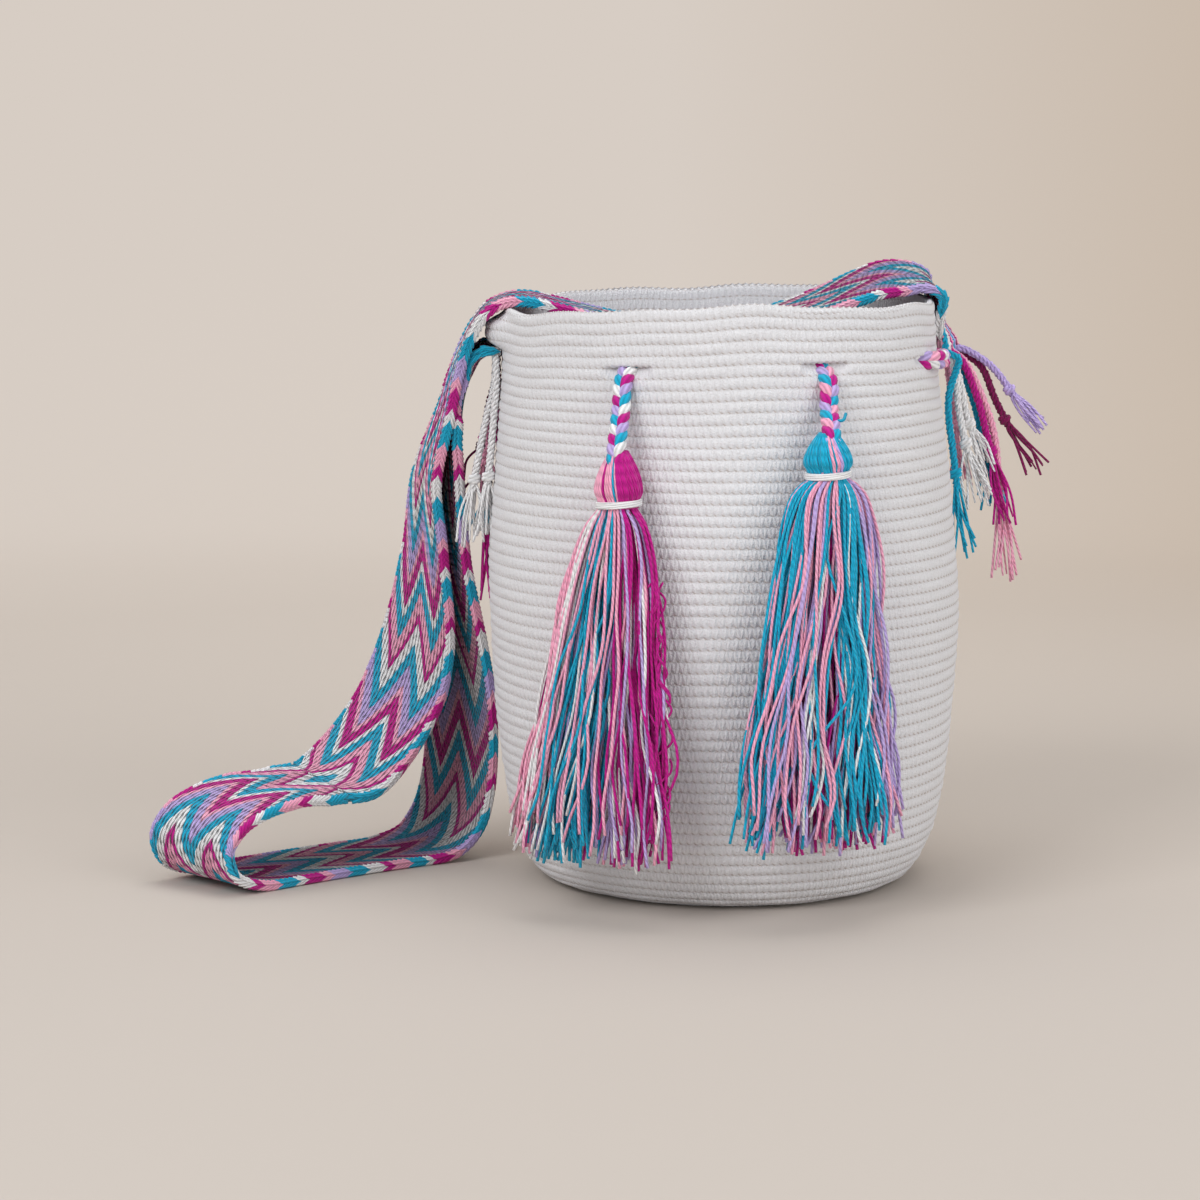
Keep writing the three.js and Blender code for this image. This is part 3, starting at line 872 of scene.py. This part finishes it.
def bag_body():
    crochet = crochet_material()
    weave = crochet_wall(0, LOWER_ROWS)
    ring_grid(weave, *base_rings())
    lower = weave.piece("bag_lower_wall", [crochet], "bag", "crochet")
    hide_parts("bag_body")
    crochet_wall(LOWER_ROWS, ROWS).piece("bag_upper_wall", [crochet], "bag", "crochet")
    weave = Weave()
    ring_grid(weave, *rim_curl(), columns=2 * STITCHES, chain=RIM_CHAIN)
    inside, rows = lining_rows()
    ring_grid(weave, inside + [(CENTRE_RADIUS, WALL)], rows + [0])
    weave.piece("bag_rim_and_inside", [crochet], "bag", "crochet")


# Drawstring


def plait(weave, path, strands, shift=0.0, upright=False):
    """Strands that cross over and under along a path, in a flat plait that may stand on its edge."""
    path = resample(path, PLAIT_STEP)
    _, side, other = frames(path)
    if upright:
        side, other = other, side
    phase = distances(path) / PLAIT_PITCH * math.tau + shift
    for number, colour in enumerate(strands):
        turn = phase + number * math.tau / len(strands)
        wide = side * (PLAIT_WIDE * np.sin(turn))[:, None]
        deep = other * (PLAIT_DEEP * np.sin(2 * turn))[:, None]
        weave.tube(path + (wide + deep), PLAIT_STRAND, yarn_number(colour), sides=8, pitch=PLAIT_PLY)
    return path


def drawstring(materials):
    outside = CORD_DIAMETER / 2 - CORD_SINK
    inside = -WALL - CORD_DIAMETER / 2 - CORD_GAP
    rim = PROFILE[-1][0]
    cross = math.degrees(CROSSING_HALF / rim)
    end_turn = math.degrees((CORD_DIAMETER / 2 + FIT_GAP) / (rim + inside))
    points = []

    def arc(start, end, out):
        count = max(1, round((end - start) / ARC_STEP))
        for angle in np.linspace(start, end, count + 1):
            points.append(wall_point(angle, SLOT_HEIGHT, out))

    angle = TASSEL_ANGLE + end_turn
    for start, end in OUTSIDE_SPANS:
        arc(angle, start - cross, inside)
        arc(start + cross, end - cross, outside)
        angle = end + cross
    arc(angle, 360 - TASSEL_ANGLE - end_turn, inside)
    weave = Weave()
    path = plait(weave, smooth_path(points, steps=12), DRAWSTRING_STRANDS, upright=True)
    piece = weave.piece("drawstring_plait", materials, "bag", "plait")
    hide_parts("drawstring_neck")


# Tassels

# Yarn colours across a tassel as seen from the front, from its left edge at -1 to its right edge at 1
SKIRT_COLOURS = {
    "left": [
        (-0.5, "KWKKMW"), (-0.2, "KWBKBK"), (0.05, "BKBBWK"), (0.3, "KKPKMW"), (0.65, "MPKMKM"),
        (0.85, "MMWMPM"), (2, "M"),
    ],
    "right": [(-0.6, "BBBBKB"), (-0.3, "PKBPKB"), (0.05, "WKPWBW"), (0.5, "BBBBWB"), (2, "BPKBPK")],
}
# Yarn colours of the threads inside a skirt, which show where the outer ones part
CORE_COLOURS = {
    "left": [(-0.5, "KWPB"), (0.1, "BBBBBB"), (0.4, "KPWMW"), (2, "MPWM")],
    "right": [(-0.3, "BPM"), (0.2, "PMMK"), (2, "MBMP")],
}
CORE = 0.62
HEAD_COLOURS = {
    "left": [(-0.42, "K"), (-0.26, "M"), (0.06, "K"), (0.16, "BM"), (0.3, "K"), (2, "M")],
    "right": [(-0.4, "B"), (-0.28, "K"), (-0.1, "B"), (0.05, "K"), (0.2, "P"), (2, "B")],
}
# A head's outline as shares of its length from the top down and of its radius
HEAD_SHAPE = [(0, 0.36), (0.12, 0.5), (0.3, 0.7), (0.5, 0.88), (0.7, 1), (0.88, 1.02), (1, 0.9), (1.2, 0.84)]
HEAD_THREADS = 72
HEAD_SWIRL = 0.3
STRAYS = 16
CURLED_STRAYS = 5
LOCKS = 16
# Places of a thread's points, as shares of its length
SKIRT_SHARES = [0, 0.02, 0.04, 0.07, 0.11] + [0.17 + 0.083 * step for step in range(11)]


def pick_colour(colours, place):
    letters = next(choices for limit, choices in colours if place <= limit)
    return yarn_number(YARN_LETTERS[draw.choice(letters)])


class TasselFrame:
    """Places on one tassel: outwards from the wall, sideways along it, and a height."""

    def __init__(self, spec):
        self.out = outward(spec["angle"])
        self.along = outward(spec["angle"] + 90)
        self.seat = wall_point(spec["angle"], SLOT_HEIGHT, 0)
        self.head_top = SLOT_HEIGHT - spec["braid"]
        self.neck_top = self.head_top - spec["head"]
        self.neck_low = self.neck_top - BINDING_THICK - 2 * FIT_GAP

    def at(self, far, sideways, height):
        point = self.seat + self.out * far + self.along * sideways
        point[2] = height
        return point


def tassel_piece(weave, spec, name, materials):
    """Builds a piece that hangs below the plait."""
    side = spec["side"]
    piece = weave.piece(f"{side}_{name}", materials, f"{side}_drop", spec["slots"][name])
    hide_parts(f"{side}_tassel_{name}")


def tassel_plait(spec, place, materials):
    """The drawstring's end, out of its slot and down to the tassel's head."""
    side = spec["side"]
    drift = spec["head_drift"]
    route = [place.at(out, share * drift, SLOT_HEIGHT - drop) for out, share, drop in PLAIT_LEAVES]
    route += [place.at(HEAD_OUT + out, drift, place.head_top - drop) for out, drop in PLAIT_ENDS]
    weave = Weave()
    path = plait(weave, smooth_path(route, steps=16), spec["strands"], PLAIT_SHIFT)
    for tail in spec["tails"]:
        start = path[int(tail * len(path))]
        end = start + place.along * TAIL_SIDEWAYS + np.array([0, 0, TAIL_RISE])
        bow = (start + end) / 2 + place.out * TAIL_BOW - np.array([0, 0, TAIL_SAG])
        tail_path = smooth_path([start, bow, end], steps=6)
        weave.tube(tail_path, TAIL_RADIUS, yarn_number("blue"), sides=6, pitch=TAIL_PLY)
    piece = weave.build(f"{side}_plait", materials)
    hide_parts(f"{side}_eyelet_run", f"{side}_drop_braid")
    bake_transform(piece)


def tassel_head(spec, place, materials):
    """Threads folded over the plait's end, swelling above the neck."""
    weave = Weave()
    for number in range(HEAD_THREADS):
        turn = number / HEAD_THREADS * math.tau + draw.uniform(-HEAD_UNEVENNESS, HEAD_UNEVENNESS)
        swell = draw.uniform(*HEAD_SWELL)
        points = []
        for share, wide in HEAD_SHAPE:
            reach = HEAD_RADIUS * wide * swell
            facing = turn + HEAD_SWIRL * (1 - share)
            far = HEAD_OUT - reach * math.cos(facing)
            height = place.head_top + HEAD_RISE - share * spec["head"]
            points.append(place.at(far, spec["head_drift"] + reach * math.sin(facing), height))
        colour = pick_colour(HEAD_COLOURS[spec["side"]], math.sin(turn + HEAD_SWIRL / 3))
        weave.tube(smooth_path(points, steps=3), THREAD_RADIUS, colour, sides=5, pitch=HEAD_PLY)
    tassel_piece(weave, spec, "head", materials)


def tassel_binding(spec, place, materials):
    """A thin white cord wound round the neck."""
    last = BINDING_TURNS * BINDING_STEPS
    points = []
    for step in range(last + 1):
        turn = step / BINDING_STEPS * math.tau
        drop = BINDING_THICK * (BINDING_MARGIN + (1 - 2 * BINDING_MARGIN) * step / last)
        height = place.neck_top - drop + BINDING_WAVE * math.sin(turn)
        sideways = spec["head_drift"] + BINDING_RADIUS * math.sin(turn)
        points.append(place.at(HEAD_OUT - BINDING_RADIUS * math.cos(turn), sideways, height))
    weave = Weave()
    weave.tube(np.array(points), BINDING_STRAND, yarn_number("white"), sides=6, pitch=BINDING_PLY)
    tassel_piece(weave, spec, "binding", materials)


def skirt_thread(spec, place, turn, depth, lock, stray):
    """One thread of a skirt, from the neck to its cut end. It mostly follows the wave of its lock."""
    length = spec["skirt"] * draw.uniform(*(CORE_LENGTH if depth < CORE else OUTER_LENGTH))
    lock_start, lock_beat, lock_sway = lock
    sway = draw.uniform(-1, 1)
    flick = draw.uniform(-1, 1)
    slow_start = draw.uniform(0, math.tau)
    slow = draw.uniform(*SLOW_BEATS)
    fast_start = draw.uniform(0, math.tau)
    fast = draw.uniform(*FAST_BEATS)
    points = []
    for share in SKIRT_SHARES:
        opened = max(0, share - NECK_SHARE) / (1 - NECK_SHARE)
        spread = opened ** spec["flare"]
        wide = between(NECK_SPREAD, spec["half_width"], spread)
        deep = between(NECK_SPREAD, SKIRT_END_DEPTH, spread)
        middle = between(SKIRT_TOP_OUT, SKIRT_END_OUT, opened)
        shift = between(spec["head_drift"], spec["skirt_drift"], opened)
        bend = LOCK_BEND * math.sin(lock_start + lock_beat * opened)
        bend += SLOW_BEND * math.sin(slow_start + slow * opened)
        bend += FAST_BEND * math.sin(fast_start + fast * opened)
        drift = (LOCK_SWAY * lock_sway + THREAD_SWAY * sway) * opened ** 2 + END_FLICK * flick * opened ** 6
        wander = (bend * math.sqrt(opened) + drift) * (1 + stray)
        far = middle - SKIRT_FLATNESS * deep * depth * math.cos(turn) + WANDER_OUT * wander
        across = depth * math.sin(turn)
        parted = PARTING * opened * math.sin(math.pi * (across - spec["parting"]))
        sideways = shift + wide * (across + parted) + wander
        points.append(place.at(far, sideways, place.neck_low + SKIRT_TUCK - share * length))
    return smooth_path(points, steps=2)


def curled_thread(spec, place):
    """A crinkled thread that stands off the skirt's right edge."""
    beat = draw.uniform(0, math.tau)
    points = []
    for share in np.linspace(CURL_START, draw.uniform(*CURL_ENDS), CURL_POINTS):
        wide = between(NECK_SPREAD, spec["half_width"], share ** spec["flare"])
        curl = sum(size * math.sin(start * beat + beats * share) for size, start, beats in CURL_WAVES)
        shift = between(spec["head_drift"], spec["skirt_drift"], share)
        far = between(SKIRT_TOP_OUT, SKIRT_END_OUT, share)
        far += CURL_OUT * math.cos(beat + CURL_OUT_BEATS * share)
        points.append(place.at(far, shift + CURL_EDGE * wide + curl, place.neck_low - share * spec["skirt"]))
    return smooth_path(points, steps=3)


def tassel_skirt(spec, place, materials):
    side = spec["side"]
    weave = Weave()
    locks = [
        (draw.uniform(0, math.tau), draw.uniform(*LOCK_BEATS), draw.uniform(-1, 1)) for _ in range(LOCKS)
    ]
    for number in range(THREADS + STRAYS):
        turn = draw.uniform(0, math.tau)
        depth = math.sqrt(draw.random())
        stray = STRAY_SWING if number >= THREADS else 0
        lock = locks[int(turn / math.tau * LOCKS) % LOCKS]
        path = skirt_thread(spec, place, turn, depth, lock, stray)
        colours = CORE_COLOURS if depth < CORE else SKIRT_COLOURS
        mixing = draw.uniform(-COLOUR_MIXING, COLOUR_MIXING)
        colour = pick_colour(colours[side], depth * math.sin(turn) + mixing)
        weave.tube(path, THREAD_RADIUS, colour, sides=4 if depth < CORE else 5, pitch=THREAD_PLY)
    for _ in range(CURLED_STRAYS if side == "left" else 0):
        path = curled_thread(spec, place)
        weave.tube(path, CURL_RADIUS, yarn_number("magenta"), sides=5, pitch=THREAD_PLY)
    tassel_piece(weave, spec, "skirt", materials)


def tassel(spec, materials, fine_materials):
    place = TasselFrame(spec)
    tassel_plait(spec, place, materials)
    tassel_head(spec, place, fine_materials)
    tassel_binding(spec, place, fine_materials)
    tassel_skirt(spec, place, fine_materials)


# Strap


def strap_stations():
    lay = STRAP_THICK / 2 + FIT_GAP
    right_end = wall_point(RIGHT_END_ANGLE, RIM_HEIGHT - END_DROP, lay + RIGHT_END_FLARE)
    right_bend = wall_point(RIGHT_END_ANGLE, RIM_HEIGHT - END_DROP / 2, lay + RIGHT_END_FLARE / 2)
    left_end = wall_point(LEFT_END_ANGLE, RIM_HEIGHT - END_DROP, 2 * FIT_GAP)
    left_bend = left_end + outward(LEFT_END_ANGLE) * LEFT_END_STRAIGHT
    heading = RIGHT_END_ANGLE - 90
    stations = [
        (*right_end, heading - RIGHT_END_TURN, 0), (*right_bend, heading - RIGHT_END_TURN / 2, 0)
    ]
    stations += [(x, y, RIM_HEIGHT + z, turn, tilt) for x, y, z, turn, tilt in OVER_MOUTH]
    stations += ACROSS_FLOOR
    stations += [(x, y, RIM_HEIGHT + z, turn, tilt) for x, y, z, turn, tilt in UP_TO_WALL]
    stations += [(*left_bend, 0, LEFT_END_TILT), (*left_end, 0, LEFT_END_TILT)]
    return np.array(stations)


def band_frame(stations):
    """The strap's centre line, its width and upward directions, and the distance along it."""
    path = smooth_path(stations[:, :3], steps=24)
    numbers = np.arange(len(stations))
    spot = np.linspace(0, len(stations) - 1, len(path))
    heading = np.radians(np.interp(spot, numbers, stations[:, 3]))
    tilt = np.radians(np.interp(spot, numbers, stations[:, 4]))
    across = np.stack(
        [-np.sin(heading) * np.cos(tilt), np.cos(heading) * np.cos(tilt), np.sin(tilt)], axis=1
    )
    tangent = unit(np.gradient(path, axis=0))
    across = unit(across - tangent * np.sum(across * tangent, axis=1, keepdims=True))
    return path, across, np.cross(across, tangent), distances(path)


def band_points(band, place, share, lift):
    """Points of the strap at a distance along it, a share of its half width and a height off its middle."""
    path, across, up, run = band
    centre, wide, high = (
        np.stack([np.interp(place, run, part[:, axis]) for axis in range(3)], axis=-1)
        for part in (path, across, up)
    )
    open_share = np.clip(np.minimum(place, run[-1] - place) / GATHER_LENGTH, 0, 1)
    open_share = open_share ** 2 * (3 - 2 * open_share)
    half_width = between(GATHERED_WIDTH, STRAP_WIDTH, open_share) / 2
    return centre + wide * (half_width * share)[..., None] + high * lift[..., None]


def chevron_rise(share):
    return LEG_RISE * np.abs(2 * np.abs(share) - 1)


def strand_colour(number):
    return yarn_number(YARN_LETTERS[SEQUENCE[int(number) % len(SEQUENCE)]])


def selvedge(band, middle, materials):
    """Each strand wraps round both edges of the strap, so that the edges look like stacked arrowheads."""
    weave = Weave()
    length = band[3][-1]
    turn = np.radians(np.linspace(-90, 90, EDGE_SAMPLES))
    share = EDGE_SEAT + EDGE_REACH * np.cos(turn)
    lift = EDGE_HALF * np.sin(turn)
    slant = EDGE_SLANT * (1 - np.abs(np.sin(turn)))
    for sign in (1, -1):
        limit = length - middle if sign > 0 else middle
        for half in range(2 * int((limit - EDGE_SLANT) / STRIPE)):
            reach = (half / 2 + EDGE_START) * STRIPE + slant
            for edge in (1, -1):
                path = band_points(band, middle + sign * reach, edge * share, lift)
                path[:, 2] = np.maximum(path[:, 2], EDGE_STRAND)
                weave.tube(path, EDGE_STRAND, strand_colour(half // 2), sides=5, pitch=EDGE_PLY)
    return weave.piece("strap_edges", materials, "bag", "strap_weave")


def strap(materials, edge_materials):
    band = band_frame(strap_stations())
    length = band[3][-1]
    middle = length / 2 + MIDDLE_SHIFT
    share = np.linspace(-1, 1, LEGS * SAMPLES_PER_LEG + 1)
    rise = chevron_rise(share)
    stitches = rise / LEG_RISE * SAMPLES_PER_LEG / 2
    rise = rise + BORDER_JAG * (np.arange(len(share)) % 2)
    stripes = math.ceil((length / 2 + MIDDLE_SHIFT + LEG_RISE) / STRIPE)
    steps = np.arange(stripes * SAMPLES_PER_STRIPE + 1) / SAMPLES_PER_STRIPE
    bulge = np.sqrt(1 - np.minimum(np.abs(2 * (steps % 1) - 1), 1) ** 2)
    edge = np.sqrt(1 - np.clip((np.abs(share) - 1) / ROUNDED_EDGE + 1, 0, 1) ** 2)
    thick = (STRAP_THICK / 2 - STRAND_RELIEF * (1 - bulge[:, None])) * edge[None, :]
    colours = np.array([strand_colour(step) for step in steps[:-1]])[:, None]
    spots = np.stack(np.meshgrid(steps, stitches, indexing="ij")[::-1], axis=-1)

    weave = Weave()
    for sign in (1, -1):
        limit = length - middle if sign > 0 else middle
        reach = np.clip(steps[:, None] * STRIPE + rise[None, :] - LEG_RISE, 0, limit)
        corners = [reach[:-1, :-1], reach[1:, :-1], reach[:-1, 1:], reach[1:, 1:]]
        keep = (np.maximum.reduce(corners) > 0) & (np.minimum.reduce(corners) < limit)
        for face in (1, -1):
            points = band_points(band, middle + sign * reach, share, face * thick)
            marks = spots + np.array([0, 0 if face > 0 else INNER_FACE])
            weave.grid(points, colours, marks, flip=sign * face > 0, keep=keep)
    piece = weave.piece("strap_weave_band", materials, "bag", "strap_weave")
    weld(piece.data)
    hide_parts("strap_band")
    edges = selvedge(band, middle, edge_materials)


# Loose cords


def knot(weave, path, place, colour):
    """A turn and a half of the cord round itself."""
    _, side, other = frames(path)
    turns = np.linspace(0, KNOT_TURNS * math.tau, KNOT_SAMPLES)
    ring = side[place] * np.cos(turns)[:, None] + other[place] * np.sin(turns)[:, None]
    forward = unit(path[place + 1] - path[place]) * (turns / turns[-1] - 0.5)[:, None]
    coil = path[place] + ring * KNOT_RADIUS + forward * KNOT_LENGTH
    weave.tube(coil, KNOT_STRAND, colour, sides=6, pitch=KNOT_PLY)


def rope(weave, path, colour, frayed):
    """Strands twisted together, which untwist and thin out over the frayed share of their length."""
    _, side, other = frames(path)
    run = distances(path)
    loosened = np.clip((run / run[-1] - 1 + frayed) / frayed, 0, 1)
    twist = np.minimum(run, run[-1] * (1 - UNTWISTED * frayed)) / ROPE_TURN * math.tau
    for strand in range(ROPE_STRANDS):
        turn = twist + strand * math.tau / ROPE_STRANDS
        offset = side * np.cos(turn)[:, None] + other * np.sin(turn)[:, None]
        strand_path = path + offset * (ROPE_OFFSET + LOOSE_OFFSET * loosened)[:, None]
        radius = ROPE_STRAND * (1 - LOOSE_THINNING * loosened)
        weave.tube(strand_path, radius, colour, sides=6, pitch=ROPE_PLY)


def loose_cord(name, colour, points, materials, slot):
    """A twisted cord, knotted where its end frays."""
    path = resample(smooth_path(points, steps=12), FRINGE_STEP)
    index = yarn_number(colour)
    weave = Weave()
    rope(weave, path, index, FRAY_SHARE)
    cord = weave.piece(name, materials, "bag", slot)
    fray = Weave()
    place = int(len(path) * (1 - FRAY_SHARE))
    knot(fray, path, place, index)
    middle = (path[place] + path[-1]) / 2
    for _ in range(FRAY_THREADS):
        lean = np.array([draw.uniform(*limits) for limits in FRAY_LEAN])
        curl = np.array([draw.uniform(*limits) for limits in FRAY_CURL])
        ends = [path[place], middle + lean * FRAY_BOW + curl, path[-1] + lean - curl]
        fray.tube(smooth_path(ends, steps=8), FRAY_RADIUS, index, sides=5, pitch=FRAY_PLY)
    frayed = fray.piece(f"{name}_fray", materials, "bag", slot)
    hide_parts(name.removesuffix("_cord"))


# Burgundy cords are magenta yarn whose darker colour is painted shade
SLOT_OF_COLOUR = {"burgundy": "magenta"}


def fringe(prefix, cords, starts, materials):
    """The strap's own cords, side by side across its end, which come up out of it station by station."""
    lanes = np.linspace(-1, 1, len(cords)) * (GATHERED_WIDTH - FRINGE_DIAMETER) / 2
    last_station, _ = starts[-1]
    for lane, (name, colour, route) in zip(lanes, cords):
        points = []
        for (*place, heading, _), out in starts:
            turn = math.radians(heading)
            facing = np.array([math.cos(turn), math.sin(turn), 0])
            across = np.array([-math.sin(turn), math.cos(turn), 0])
            points.append(np.array(place) + facing * out + across * lane)
        points.append(points[-1] - np.array([0, 0, FRINGE_DROP]))
        points += [(x, last_station[1] + lane, z) for x, z in route]
        slot = "yarn_" + SLOT_OF_COLOUR.get(colour, colour)
        loose_cord(f"{prefix}_{name}_cord", colour, points, materials, slot)


# Stage


def camera():
    data = bpy.data.cameras.new("photo_view")
    data.angle = math.radians(CAMERA_ANGLE)
    view = bpy.data.objects.new("photo_view", data)
    view.location = CAMERA_PLACE
    view.rotation_euler = (math.radians(90 - CAMERA_PITCH), 0, 0)
    bpy.context.scene.collection.objects.link(view)
    bpy.context.scene.camera = view


def backdrop():
    """A floor that curves up into a wall behind the object."""
    profile = [(-FLOOR_HALF, 0)]
    for turn in np.radians(np.linspace(0, 90, BEND_STEPS)):
        profile.append((BEND_START + BEND_RADIUS * math.sin(turn), BEND_RADIUS * (1 - math.cos(turn))))
    profile.append((BEND_START + BEND_RADIUS, FLOOR_HALF))
    sides = np.linspace(-FLOOR_HALF, FLOOR_HALF, 3)
    points = np.array([[(x, y, z) for x in sides] for y, z in profile])
    weave = Weave()
    weave.grid(points, 0, np.zeros(points.shape[:2] + (2,)), flip=True)
    weave.build("floor", [backdrop_material()])


def lamp(name, place, target, size, power, colour):
    data = bpy.data.lights.new(name, "AREA")
    data.size = size
    data.energy = power
    data.color = colour
    light = bpy.data.objects.new(name, data)
    light.location = place
    light.rotation_euler = (Vector(target) - Vector(place)).to_track_quat("-Z", "Y").to_euler()
    bpy.context.scene.collection.objects.link(light)


def studio():
    world = bpy.data.worlds.new("studio")
    bpy.context.scene.world = world
    world.use_nodes = True
    tree = world.node_tree
    light = tree.nodes["Background"]
    light.inputs["Color"].default_value = WORLD_COLOUR
    light.inputs["Strength"].default_value = WORLD_STRENGTH
    pale = tree.nodes.new("ShaderNodeBackground")
    pale.inputs["Color"].default_value = linear(FAR_WALL)
    chosen = tree.nodes.new("ShaderNodeMixShader")
    tree.links.new(seen_directly(tree).socket, chosen.inputs["Fac"])
    tree.links.new(light.outputs["Background"], chosen.inputs[1])
    tree.links.new(pale.outputs["Background"], chosen.inputs[2])
    tree.links.new(chosen.outputs["Shader"], tree.nodes["World Output"].inputs["Surface"])
    bpy.context.scene.view_settings.view_transform = "Standard"
    for name, place, target, size, power, colour in LAMPS:
        lamp(name, place, target, size, power, colour)


def main():
    camera()
    studio()
    backdrop()
    plait_yarns = [thread_material(f"plait_{name}", YARNS[name], plies=5, depth=0.0006) for name in YARNS]
    fine_yarns = [thread_material(f"yarn_{name}", YARNS[name], plies=2, depth=0.0003) for name in YARNS]
    strap_yarns = [strand_material(f"strap_{name}", YARNS[name]) for name in YARNS]
    drawstring(plait_yarns)
    stations = strap_stations()
    fringe("right_fringe", RIGHT_FRINGE, [(stations[1], 0), (stations[0], RIGHT_FRINGE_OUT)], fine_yarns)
    fringe("left_fringe", LEFT_FRINGE, [(stations[-1], -LEFT_FRINGE_OUT)], fine_yarns)
    bag_body()
    strap(strap_yarns, plait_yarns)
    tassel(LEFT_TASSEL, plait_yarns, fine_yarns)
    tassel(RIGHT_TASSEL, plait_yarns, fine_yarns)


main()
bpy.context.view_layer.update()
